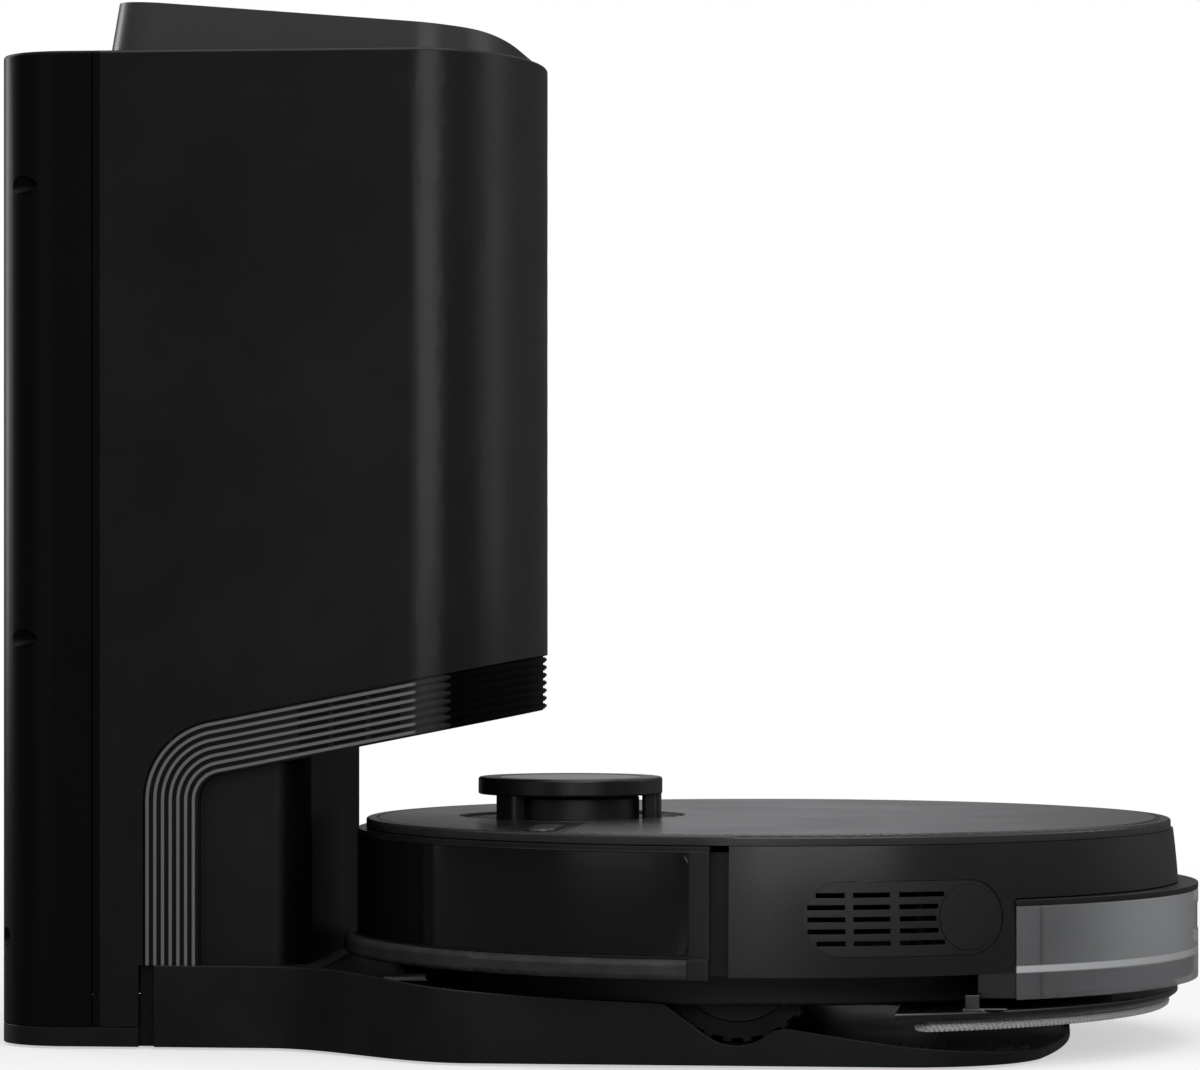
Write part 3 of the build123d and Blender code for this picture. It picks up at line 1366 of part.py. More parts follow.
def tank_plan(inset, mode=Mode.ADD):
    """Tank outline in plan: bowed tail, straight shoulders inside the body, flat front."""
    with Locations((robot_x + tank_arc_rel, 0)):
        Circle(tank_arc_r - inset)
    with Locations((robot_x + bay_wall_rel + 0.6 + inset, 0)):
        Rectangle(500, 500, align=(Align.MAX, Align.CENTER), mode=Mode.SUBTRACT)
    for side in (-1, 1):
        with Locations((robot_x + tank_edge_rel + 0.3 + inset, side * (132.5 - inset + 30))):
            Rectangle(60, 60, align=(Align.MAX, Align.CENTER), mode=Mode.SUBTRACT)


tail_x = robot_x + tank_arc_rel + tank_arc_r
tank_lid_z = 64.6
latch_half = 16.0
latch_height = 10.0
latch_z = 53.0

with BuildPart() as tank_body:
    with BuildSketch(Plane.XY.offset(tank_bottom)):
        tank_plan(0)
    extrude(amount=tank_lid_z - tank_bottom)
    with BuildSketch(Plane.XY.offset(tank_bottom + 2)):
        tank_plan(2)
    extrude(amount=100, mode=Mode.SUBTRACT)
    with BuildSketch(Plane.XY.offset(latch_z - latch_height / 2 - 2)):
        tank_plan(0.5)
        with Locations((tail_x - 7.5, 0)):
            Rectangle(20, 2 * latch_half + 5, align=(Align.MIN, Align.CENTER), mode=Mode.INTERSECT)
    extrude(amount=latch_height + 4)
    with Locations((tail_x, 0, latch_z)):
        Box(11, 2 * (latch_half + sliding_gap), latch_height + 2 * sliding_gap, mode=Mode.SUBTRACT)
save(tank_body, "tank_body")

with BuildPart() as tank_latch:
    with BuildSketch(Plane.XY.offset(latch_z - latch_height / 2)):
        tank_plan(0.4)
        with Locations((tail_x - 3.2, 0)):
            Rectangle(20, 2 * latch_half, align=(Align.MIN, Align.CENTER), mode=Mode.INTERSECT)
    extrude(amount=latch_height)
save(tank_latch, "tank_latch")

with BuildPart() as tank_top_cover:
    with BuildSketch(Plane.XY.offset(tank_lid_z)):
        tank_plan(0)
    extrude(amount=tank_top - tank_lid_z)
save(tank_top_cover, "tank_top_cover")

with BuildPart() as tank_tray:
    with BuildSketch(Plane.XY.offset(38.0)):
        tank_plan(2.1)
        tank_plan(9, mode=Mode.SUBTRACT)
    extrude(amount=3.2)
save(tank_tray, "tank_tray")

mop_front_rel = 62.0
cloth_front_rel = 69.0
mop_top_r = body_r - 1.0
mop_low_r = mop_top_r - 3.4
mop_top = 23.4
mop_low = 18.8
cloth_low = 15.1

with BuildPart() as mop_plate:
    with BuildSketch(Plane.XZ):
        Polygon(
            (robot_x, mop_low),
            (robot_x + mop_low_r, mop_low),
            (robot_x + mop_top_r, mop_low + 2.4),
            (robot_x + mop_top_r, mop_top - 0.6),
            (robot_x + mop_top_r - 0.6, mop_top),
            (robot_x, mop_top),
        )
    revolve(axis=robot_axis)
    with Locations((robot_x + mop_front_rel, 0, 0)):
        Box(600, 600, 100, align=(Align.MAX, Align.CENTER, Align.MIN), mode=Mode.SUBTRACT)
    with BuildSketch(Plane.XY.offset(mop_top)):
        with Locations((robot_x + 97, -141.5), (robot_x + 97, 141.5)):
            Rectangle(18, 5)
        with Locations((robot_x + 100, -70), (robot_x + 100, 70)):
            Rectangle(50, 6)
    extrude(amount=pan_bottom - sliding_gap - mop_top)
    with BuildSketch(Plane.XY.offset(pan_bottom - 1)):
        with Locations((robot_x + 92, -141.5), (robot_x + 92, 141.5)):
            Rectangle(6, 5)
    extrude(amount=6)
save(mop_plate, "mop_plate")

with BuildPart() as mop_cloth:
    with BuildSketch(Plane.XY.offset(cloth_low)):
        with Locations((robot_x, 0)):
            Circle(mop_low_r)
        with Locations((robot_x + cloth_front_rel, 0)):
            Rectangle(600, 600, align=(Align.MAX, Align.CENTER), mode=Mode.SUBTRACT)
    extrude(amount=mop_low - cloth_low)
save(mop_cloth, "mop_cloth")

with BuildPart() as battery:
    with Locations((118, 0, pan_bottom + pan_floor)):
        Box(62, 72, 24, align=(Align.CENTER, Align.CENTER, Align.MIN))
    fillet(battery.edges().filter_by(Axis.X), 8)
save(battery, "battery")

with BuildPart() as robot_fan:
    with BuildSketch(Plane.XY.offset(pan_bottom + pan_floor)):
        with Locations((118, 72)):
            Circle(26)
        with Locations((118, 88)):
            Rectangle(26, 22, align=(Align.MIN, Align.CENTER))
    extrude(amount=32)
    with BuildSketch(Plane.XY.offset(pan_bottom + pan_floor + 20)):
        with Locations((118, 72)):
            Circle(15)
    extrude(amount=20, mode=Mode.SUBTRACT)
save(robot_fan, "robot_fan")
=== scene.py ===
import json
import math
import random

import bpy
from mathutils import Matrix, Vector, noise


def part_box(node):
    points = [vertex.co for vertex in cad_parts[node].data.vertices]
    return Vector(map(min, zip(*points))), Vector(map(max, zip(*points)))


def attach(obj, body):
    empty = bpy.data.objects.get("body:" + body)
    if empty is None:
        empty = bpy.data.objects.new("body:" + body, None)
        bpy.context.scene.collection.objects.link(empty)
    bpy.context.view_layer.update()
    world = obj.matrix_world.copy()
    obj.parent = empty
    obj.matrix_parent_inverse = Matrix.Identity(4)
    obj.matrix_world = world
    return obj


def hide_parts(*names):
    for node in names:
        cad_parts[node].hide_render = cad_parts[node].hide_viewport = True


# The robot vacuum and its dock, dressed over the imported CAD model. Metres, floor at z = 0,
# dock tower at -X, robot's tail at +X.

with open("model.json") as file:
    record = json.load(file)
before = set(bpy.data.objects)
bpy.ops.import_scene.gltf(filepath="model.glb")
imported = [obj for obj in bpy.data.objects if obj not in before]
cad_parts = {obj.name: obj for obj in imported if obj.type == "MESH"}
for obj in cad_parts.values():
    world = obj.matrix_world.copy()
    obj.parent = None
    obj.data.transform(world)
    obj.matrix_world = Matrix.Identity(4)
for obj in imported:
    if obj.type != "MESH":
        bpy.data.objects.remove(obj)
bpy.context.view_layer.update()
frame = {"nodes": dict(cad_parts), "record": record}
nodes = frame["nodes"]
for old in list(bpy.data.materials):
    bpy.data.materials.remove(old)

robot_x = 0.068  # middle of the docked robot; its y is 0
materials = {}


# ---------------------------------------------------------------- node tools

class Graph:
    """A node tree with helpers that add a node and give back its output."""

    def __init__(self, tree, coordinate):
        self.nodes = tree.nodes
        self.links = tree.links
        self.position = self.nodes.new("ShaderNodeTexCoord").outputs[coordinate]

    def feed(self, socket, value):
        """Sets a socket to a number, or links an output to it."""
        if isinstance(value, (int, float)):
            socket.default_value = value
        else:
            self.links.new(value, socket)

    def axis(self, letter):
        node = self.nodes.new("ShaderNodeSeparateXYZ")
        self.links.new(self.position, node.inputs["Vector"])
        return node.outputs[letter]

    def maths(self, operation, *values):
        node = self.nodes.new("ShaderNodeMath")
        node.operation = operation
        for socket, value in zip(node.inputs, values):
            self.feed(socket, value)
        return node.outputs[0]

    def flip(self, share):
        return self.maths("SUBTRACT", 1.0, share)

    def span(self, value, low, high, low_out, high_out, kind="LINEAR"):
        """Maps low..high to low_out..high_out and holds it beyond both ends."""
        node = self.nodes.new("ShaderNodeMapRange")
        node.interpolation_type = kind
        numbers = {"From Min": low, "From Max": high, "To Min": low_out, "To Max": high_out}
        for socket, number in numbers.items():
            node.inputs[socket].default_value = number
        self.links.new(value, node.inputs["Value"])
        return node.outputs["Result"]

    def ease(self, value, low, high, low_out=0.0, high_out=1.0):
        """As span, with a soft start and end."""
        return self.span(value, low, high, low_out, high_out, "SMOOTHSTEP")

    def shine(self, kind, colour, strength):
        """An emission or background node."""
        node = self.nodes.new(kind)
        node.inputs["Color"].default_value = (*colour, 1)
        self.feed(node.inputs["Strength"], strength)
        return node.outputs[0]

    def mix(self, share, first, second):
        node = self.nodes.new("ShaderNodeMixShader")
        self.links.new(share, node.inputs["Fac"])
        self.links.new(first, node.inputs[1])
        self.links.new(second, node.inputs[2])
        return node.outputs["Shader"]


class Shader(Graph):
    """A Principled material, kept under its slot's name, with helpers for colour, roughness and bump."""

    def __init__(self, name, colour, rough, specular, metallic=0.0):
        material = bpy.data.materials.new(name)
        material.use_nodes = True
        super().__init__(material.node_tree, "Object")
        materials[name] = material
        self.bsdf = self.nodes["Principled BSDF"]
        self.colour = (*colour, 1.0)
        self.bsdf.inputs["Base Color"].default_value = self.colour
        self.bsdf.inputs["Roughness"].default_value = rough
        self.bsdf.inputs["Metallic"].default_value = metallic
        self.bsdf.inputs["Specular IOR Level"].default_value = specular
        self.height = None

    def stretched(self, scale):
        mapping = self.nodes.new("ShaderNodeMapping")
        mapping.inputs["Scale"].default_value = scale
        self.links.new(self.position, mapping.inputs["Vector"])
        return mapping.outputs["Vector"]

    def noise(self, scale, detail, vector=None, roughness=0.5):
        node = self.nodes.new("ShaderNodeTexNoise")
        node.inputs["Scale"].default_value = scale
        node.inputs["Detail"].default_value = detail
        node.inputs["Roughness"].default_value = roughness
        self.links.new(vector or self.position, node.inputs["Vector"])
        return node.outputs["Fac"]

    def cells(self, scale):
        """A random colour per cell."""
        node = self.nodes.new("ShaderNodeTexVoronoi")
        node.inputs["Scale"].default_value = scale
        self.links.new(self.position, node.inputs["Vector"])
        return node.outputs["Color"]

    def wave(self, scale, direction):
        node = self.nodes.new("ShaderNodeTexWave")
        node.bands_direction = direction
        node.inputs["Scale"].default_value = scale
        self.links.new(self.position, node.inputs["Vector"])
        return node.outputs["Fac"]

    def tint(self, value, other, low=0.35, high=0.65):
        """Base colour runs from the first colour to other as value goes from low to high."""
        ramp = self.nodes.new("ShaderNodeValToRGB")
        ramp.color_ramp.elements[0].position = low
        ramp.color_ramp.elements[1].position = high
        ramp.color_ramp.elements[0].color = self.colour
        ramp.color_ramp.elements[1].color = (*other, 1.0)
        self.links.new(value, ramp.inputs["Fac"])
        self.links.new(ramp.outputs["Color"], self.bsdf.inputs["Base Color"])

    def shade(self, share, other):
        """Mixes what colours the base so far with other, by share."""
        node = self.nodes.new("ShaderNodeMix")
        node.data_type = "RGBA"
        base = self.bsdf.inputs["Base Color"]
        source = base.links[0].from_socket
        self.links.new(share, node.inputs["Factor"])
        self.links.new(source, node.inputs[6])
        node.inputs[7].default_value = (*other, 1.0)
        self.links.new(node.outputs[2], base)

    def paint_shade(self, share, other, specular):
        """Paints shade: mixes in another colour by share and takes the specular level to the given one."""
        self.shade(share, other)
        level = self.bsdf.inputs["Specular IOR Level"]
        self.links.new(self.span(share, 0, 1, level.default_value, specular), level)

    def polish(self, value, low, high):
        """Roughness runs from low to high with value."""
        self.links.new(self.span(value, 0.3, 0.7, low, high), self.bsdf.inputs["Roughness"])

    def bump(self, value, depth, strength=1.0):
        node = self.nodes.new("ShaderNodeBump")
        node.inputs["Strength"].default_value = strength
        node.inputs["Distance"].default_value = depth
        self.links.new(value, node.inputs["Height"])
        if self.height:
            self.links.new(self.height, node.inputs["Normal"])
        self.height = node.outputs["Normal"]
        self.links.new(self.height, self.bsdf.inputs["Normal"])


# ---------------------------------------------------------------- kinds of material

def moulded(name, colour, rough, specular, grain, depth, lighter=1.35, spread=0.05):
    """Moulded plastic: fine spark-eroded grain, faint flow marks, uneven sheen."""
    s = Shader(name, colour, rough, specular)
    s.tint(s.noise(38, 5.0, roughness=0.6), [c * lighter for c in colour])
    s.polish(s.noise(14, 4.0), rough - spread, rough + spread)
    s.bump(s.noise(grain, 2.0), depth)
    s.bump(s.noise(60, 2.0), depth * 0.8, 0.35)
    return s


def glossy(name, colour, rough, specular, coat=0.0, smudge=0.04):
    """Polished plastic: near-flat, with faint smudges and a very fine grain."""
    s = Shader(name, colour, rough, specular)
    s.tint(s.noise(22, 4.0), [c * 1.25 for c in colour])
    s.polish(s.noise(30, 6.0, roughness=0.65), rough, rough + smudge)
    s.bump(s.noise(3200, 1.0), 0.000002, 0.3)
    if coat:
        s.bsdf.inputs["Coat Weight"].default_value = coat
        s.bsdf.inputs["Coat Roughness"].default_value = 0.06
    return s


def rubber(name, colour, rough):
    s = Shader(name, colour, rough, 0.3)
    s.tint(s.noise(90, 5.0), [c * 1.8 for c in colour])
    s.polish(s.noise(40, 4.0), rough - 0.08, rough + 0.06)
    s.bump(s.noise(1300, 3.0), 0.00004)


def brushed(name, colour, rough):
    """Metal with fine lines along Y."""
    s = Shader(name, colour, rough, 0.5, 1.0)
    fine = s.noise(1500, 2.0, s.stretched((1.0, 0.06, 1.0)))
    s.tint(fine, [c * 0.72 for c in colour])
    s.polish(fine, rough - 0.06, rough + 0.1)
    s.bump(fine, 0.00001, 0.5)


def woven(name, colour, other, pitch, depth):
    """Cloth: crossing yarns of the given pitch, with fuzz and slightly uneven dye."""
    s = Shader(name, colour, 0.9, 0.15)
    bands = 0.5 / pitch
    yarns = s.maths("MULTIPLY", s.maths("ADD", s.wave(bands, "X"), s.wave(bands, "Y")), 0.5)
    mixed = s.maths("MULTIPLY", s.maths("ADD", yarns, s.noise(1500, 3.0)), 0.5)
    s.tint(mixed, other, 0.3, 0.7)
    s.bump(yarns, depth)
    s.bump(s.noise(2600, 3.0), depth * 0.5)
    s.bsdf.inputs["Sheen Weight"].default_value = 0.25
    s.bsdf.inputs["Sheen Roughness"].default_value = 0.5


# ---------------------------------------------------------------- the material of every slot
# Colours are fitted to the photo under this light, and most are darker than the record's base_color.
# Some slots look different from place to place in the photo. Those differences, mostly painted highlights
# and painted shade, are painted here by position at rest, which moves with the piece. A pair holds where
# the change starts and ends.

shell_seam_x = (-0.2040, -0.2030)    # dock's rear cover behind, front shell before
rib_crest_y = (0.08730, 0.08752)     # outermost skin of the louvre ribs, either side
column_x = (-0.134, -0.126)          # where the front of the column below the head begins
column_y = 0.0815                    # just outside the column's sides; the band crosses it at the nose
dock_trim_x = -0.1069                # behind this is only dock trim; the hidden motor housing crosses it
deck_z = (0.0896, 0.0900)            # lower edge of the deck
deck_rim_r = (0.1698, 0.1706)        # side of the deck, from the robot's middle
recess_r = (0.1690, 0.1702)          # below the deck: the bumper's and body's inner sides lie within it
tank_tail_x = (0.186, 0.246)         # the tank gets paler toward its tail
tank_lower_z = (0.0373, 0.0377)      # the part below the tank's seam
tank_stripe_x = ((0.1862, 0.1867), (0.1870, 0.1886))
tank_seam_z = ((0.0377, 0.0382), (0.0404, 0.0409))
tank_neck_x = (0.1768, 0.1773)       # the neck inside the robot, before this

# Painted shade: the tower's rear cover is darker and duller than the front shell
housing = moulded("housing_black", (0.0055, 0.0055, 0.0059), 0.31, 0.20, 2600, 0.000012, 1.25, 0.03)
rear_cover_shade = housing.flip(housing.ease(housing.axis("X"), *shell_seam_x))
housing.paint_shade(rear_cover_shade, (0.0026, 0.0026, 0.0028), 0.08)

moulded("lid_black", (0.0075, 0.0075, 0.008), 0.27, 0.42, 2600, 0.00001, 1.25, 0.04)

# Painted highlights: pale lines on the crests of the louvre ribs, only along the straight sides. Painted
# shade, near-black and dull, on the front of the column, which also takes in most of the head's underside and
# the ribs round the tower's nose; its edge shows there as a scalloped line.
louvre = moulded("louvre_black", (0.0042, 0.0042, 0.0045), 0.38, 0.26, 2600, 0.000015, 1.3, 0.04)
sideways = louvre.maths("ABSOLUTE", louvre.axis("Y"))
louvre.shade(louvre.ease(sideways, *rib_crest_y), (0.10, 0.10, 0.103))
louvre_painted_shade = louvre.maths(
    "MULTIPLY",
    louvre.ease(louvre.axis("X"), *column_x),
    louvre.maths("LESS_THAN", sideways, column_y),
)
louvre.paint_shade(louvre_painted_shade, (0.0012, 0.0012, 0.0013), 0.02)

moulded("base_black", (0.0048, 0.0048, 0.0052), 0.40, 0.20, 1900, 0.00003, 1.4, 0.06)

# Painted shade: the dock's trim is near-black and dull behind dock_trim_x: the duct, the mains inlet and
# the back of the motor housing
trim = moulded("trim_black", (0.0055, 0.0055, 0.006), 0.44, 0.30, 1900, 0.00002, 1.4, 0.06)
trim.paint_shade(trim.maths("LESS_THAN", trim.axis("X"), dock_trim_x), (0.0014, 0.0014, 0.0015), 0.05)

# Painted highlight on the paler side of the deck; painted shade, near-black and dull, inside the bumper
# and the body shell
deck = glossy("deck_black", (0.0070, 0.0070, 0.0074), 0.26, 0.30)
along_x = deck.maths("POWER", deck.maths("SUBTRACT", deck.axis("X"), robot_x), 2.0)
along_y = deck.maths("POWER", deck.axis("Y"), 2.0)
from_middle = deck.maths("SQRT", deck.maths("ADD", along_x, along_y))
on_deck = deck.ease(deck.axis("Z"), *deck_z)
deck.shade(deck.maths("MULTIPLY", on_deck, deck.ease(from_middle, *deck_rim_r)), (0.020, 0.020, 0.0208))
recess_shade = deck.maths("MULTIPLY", deck.flip(on_deck), deck.flip(deck.ease(from_middle, *recess_r)))
deck.paint_shade(recess_shade, (0.0010, 0.0010, 0.0011), 0.03)

glossy("window_black", (0.0030, 0.0030, 0.0034), 0.09, 0.4, coat=0.25, smudge=0.03)
glossy("navy_disc", (0.006, 0.014, 0.045), 0.13, 0.6)
glossy("mop_gloss", (0.006, 0.006, 0.0065), 0.14, 0.6)
moulded("bay_grey", (0.05, 0.05, 0.053), 0.5, 0.4, 1900, 0.00003)
moulded("impeller_grey", (0.14, 0.14, 0.145), 0.5, 0.4, 1500, 0.00003)
moulded("cell_wrap", (0.012, 0.03, 0.08), 0.32, 0.5, 700, 0.00002)
moulded("tank_ledge", (0.17, 0.172, 0.175), 0.42, 0.45, 1900, 0.00002, 1.12)

# Plate round the turret: gloss with fine metallic flake
flake = Shader("deck_plate", (0.016, 0.016, 0.0175), 0.22, 0.55)
flake.tint(flake.cells(2400), (0.034, 0.034, 0.038), 0.55, 0.95)
flake.polish(flake.noise(18, 5.0), 0.2, 0.27)
flake.bump(flake.noise(3400, 1.0), 0.000002, 0.3)

rubber("rubber", (0.012, 0.012, 0.012), 0.7)
rubber("tyre", (0.0055, 0.0055, 0.0055), 0.74)
rubber("brush_rubber", (0.02, 0.02, 0.021), 0.6)
rubber("bristle", (0.016, 0.016, 0.016), 0.5)
brushed("steel", (0.46, 0.46, 0.47), 0.34)
brushed("contact_metal", (0.62, 0.58, 0.5), 0.26)

# Smoky clear tank: painted light makes it paler toward the tail. It is darker below the seam, with a dark
# stripe near its front, a pale seam line, and a solid dark neck. The seam and the neck aren't clear.
tank_alpha = 0.74
smoke = Shader("tank_smoke", (0.088, 0.090, 0.092), 0.22, 0.5)
smoke.tint(smoke.noise(26, 4.0), (0.105, 0.107, 0.11))
tank_x, tank_z = smoke.axis("X"), smoke.axis("Z")
smoke.shade(smoke.ease(tank_x, *tank_tail_x), (0.27, 0.274, 0.28))
lower = smoke.flip(smoke.ease(tank_z, *tank_lower_z))
smoke.shade(smoke.maths("MULTIPLY", lower, 0.6), (0.062, 0.063, 0.065))
stripe = smoke.maths("SUBTRACT", *(smoke.ease(tank_x, *change) for change in tank_stripe_x))
smoke.shade(smoke.maths("MULTIPLY", stripe, 0.5), (0.03, 0.03, 0.031))
seam_start, seam_end = (smoke.ease(tank_z, *change) for change in tank_seam_z)
seam = smoke.maths("MULTIPLY", seam_start, smoke.flip(seam_end))
smoke.shade(seam, (0.32, 0.325, 0.33))
neck = smoke.flip(smoke.ease(tank_x, *tank_neck_x))
smoke.shade(neck, (0.006, 0.006, 0.0062))
solid = smoke.maths("MAXIMUM", seam, neck)
smoke.links.new(smoke.span(solid, 0, 1, tank_alpha, 1.0), smoke.bsdf.inputs["Alpha"])
smoke.polish(smoke.noise(20, 5.0), 0.18, 0.27)
smoke.bump(smoke.noise(700, 2.0), 0.000004, 0.4)

woven("mop_cloth", (0.20, 0.20, 0.205), (0.42, 0.42, 0.43), 0.0009, 0.0003)
woven("hem_cord", (0.17, 0.17, 0.173), (0.38, 0.38, 0.385), 0.0006, 0.00008)
woven("bag_paper", (0.62, 0.61, 0.57), (0.80, 0.79, 0.75), 0.0007, 0.0001)
# The record calls the filter off-white. It is near-black here as painted shade, because the slots before it
# are dark in the photo.
woven("filter_paper", (0.006, 0.006, 0.0063), (0.012, 0.012, 0.012), 0.0008, 0.0001)
moulded("bag_card", (0.74, 0.73, 0.70), 0.6, 0.3, 900, 0.00003, 1.08)

slots = {row["node"]: row["material_slot"] for row in frame["record"]["subparts"]}
for name, obj in nodes.items():
    obj.data.materials.clear()
    obj.data.materials.append(materials[slots[name]])


# ---------------------------------------------------------------- rounded edges on the rigid pieces

weld_distance = 0.000002
flat_angle = math.radians(0.06)
edge_angle = math.radians(32)
even_weight = 60


def soften(obj, width, steps):
    """Joins the flat facets and rounds the edges, which takes away a little and adds nothing."""
    mesh = obj.data
    mesh.polygons.foreach_set("use_smooth", [True] * len(mesh.polygons))
    if "custom_normal" in mesh.attributes:
        mesh.attributes.remove(mesh.attributes["custom_normal"])
    weld = obj.modifiers.new("weld", "WELD")
    weld.merge_threshold = weld_distance
    flat = obj.modifiers.new("flat", "DECIMATE")
    flat.decimate_type = "DISSOLVE"
    flat.angle_limit = flat_angle
    edge = obj.modifiers.new("edge", "BEVEL")
    edge.width = width
    edge.segments = steps
    edge.limit_method = "ANGLE"
    edge.angle_limit = edge_angle
    edge.use_clamp_overlap = True
    even = obj.modifiers.new("even", "WEIGHTED_NORMAL")
    even.weight = even_weight


plain_width, plain_steps = 0.00025, 2
edge_steps = {"louvre_band": 4, "mop_plate": 3, "dock_lid": 3, "tank_body": 3, "base_rim": 3}
edge_widths = {
    "main_housing": 0.0004, "rear_cover": 0.0004, "dock_lid": 0.0012, "louvre_band": 0.00042,
    "column": 0.0006, "base_rim": 0.0009, "base_tray": 0.0004, "top_plate": 0.0003,
    "bumper_shell": 0.0004, "bumper_window": 0.0003, "vent_plates": 0.00025, "tank_body": 0.0006,
    "mop_plate": 0.0011,
}
soft_nodes = ("mop_cloth", "dust_bag", "side_brush_bristles")  # soft pieces stand in for these
smooth_nodes = ("bumper_lip", "top_cover", "body_shell")  # a bevel breaks up their long curves
for name, obj in nodes.items():
    if name not in soft_nodes and name not in smooth_nodes:
        soften(obj, edge_widths.get(name, plain_width), edge_steps.get(name, plain_steps))


# ---------------------------------------------------------------- tools for the pieces built here

def piece(name, points, faces, slot, body, parts=()):
    """A mesh piece in the material of a slot, riding on a body; parts maps later faces to other slots."""
    mesh = bpy.data.meshes.new(name)
    mesh.from_pydata(points, [], faces)
    mesh.materials.append(materials[slot])
    for other, first in parts:
        mesh.materials.append(materials[other])
        for face in mesh.polygons[first:]:
            face.material_index = len(mesh.materials) - 1
    mesh.polygons.foreach_set("use_smooth", [True] * len(mesh.polygons))
    mesh.update()
    obj = bpy.data.objects.new(name, mesh)
    bpy.context.scene.collection.objects.link(obj)
    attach(obj, body)
    return obj


def turned(face, back):
    return tuple(reversed(face)) if back else face


def join_rings(faces, first, second, count, back=False):
    """Quads between two rings of count points that start at first and second."""
    for i in range(count):
        j = (i + 1) % count
        faces.append(turned((first + i, first + j, second + j, second + i), back))


def tube(points, faces, path, radius, sides, closed=False):
    """Adds a round tube along a path of points to the lists; radius may be a function of the path's share."""
    start = len(points)
    count = len(path)
    for i, here in enumerate(path):
        before = path[i - 1] if i or closed else path[0]
        after = path[(i + 1) % count] if i < count - 1 or closed else path[-1]
        along = (after - before).normalized()
        side = along.cross(Vector((0, 0, 1)))
        side = side.normalized() if side.length > 1e-4 else Vector((1, 0, 0))
        rise = side.cross(along)
        r = radius(i / max(1, count - 1)) if callable(radius) else radius
        for k in range(sides):
            a = math.tau * k / sides
            points.append(here + (side * math.cos(a) + rise * math.sin(a)) * r)
    for i in range(count if closed else count - 1):
        join_rings(faces, start + i * sides, start + (i + 1) % count * sides, sides)
    if not closed:
        faces.append(tuple(start + k for k in reversed(range(sides))))
        faces.append(tuple(start + (count - 1) * sides + k for k in range(sides)))


# ---------------------------------------------------------------- side brush bristles

def tuft_mesh():
    """Three tufts of fine nylon bristles that fan out and droop a little."""
    hub_x, hub_y = -0.024, -0.092
    arms, per_arm, rows = 3, 54, 5
    root_r, tip_r = 0.0255, 0.0444
    ragged, rounded = 0.0016, 0.0012        # how much shorter a bristle may be, by chance and at the sides
    root_wide, fan = 0.0019, 0.0042         # half the tuft's width at its root, and what the tip adds
    layer, droop = 0.0005, 0.0003
    thick, taper = 0.00013, 0.00005         # radius at the root, and what it loses to the tip
    low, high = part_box("side_brush_bristles")
    middle_z = (low[2] + high[2]) / 2
    dice = random.Random(5)
    points, faces = [], []
    for arm in range(arms):
        a = math.tau * arm / arms
        out = Vector((math.cos(a), math.sin(a), 0))
        across = Vector((-out.y, out.x, 0))
        for _ in range(per_arm):
            share = dice.uniform(-1, 1)
            rise = dice.uniform(-0.55, 0.55)
            reach = tip_r - ragged * dice.random() - rounded * share * share
            path = []
            for k in range(rows + 1):
                t = k / rows
                r = root_r + (reach - root_r) * t
                lift = layer * rise * (0.35 + 0.65 * t) - droop * t * t
                wide = share * (root_wide + fan * t ** 1.2)
                path.append(Vector((hub_x, hub_y, middle_z + lift)) + out * r + across * wide)
            tube(points, faces, path, lambda t: thick - taper * t, 5)
    return points, faces


points, faces = tuft_mesh()
bristles = piece("bristle_tufts", points, faces, "bristle", "side_brush")
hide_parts("side_brush_bristles")


# ---------------------------------------------------------------- mop pad

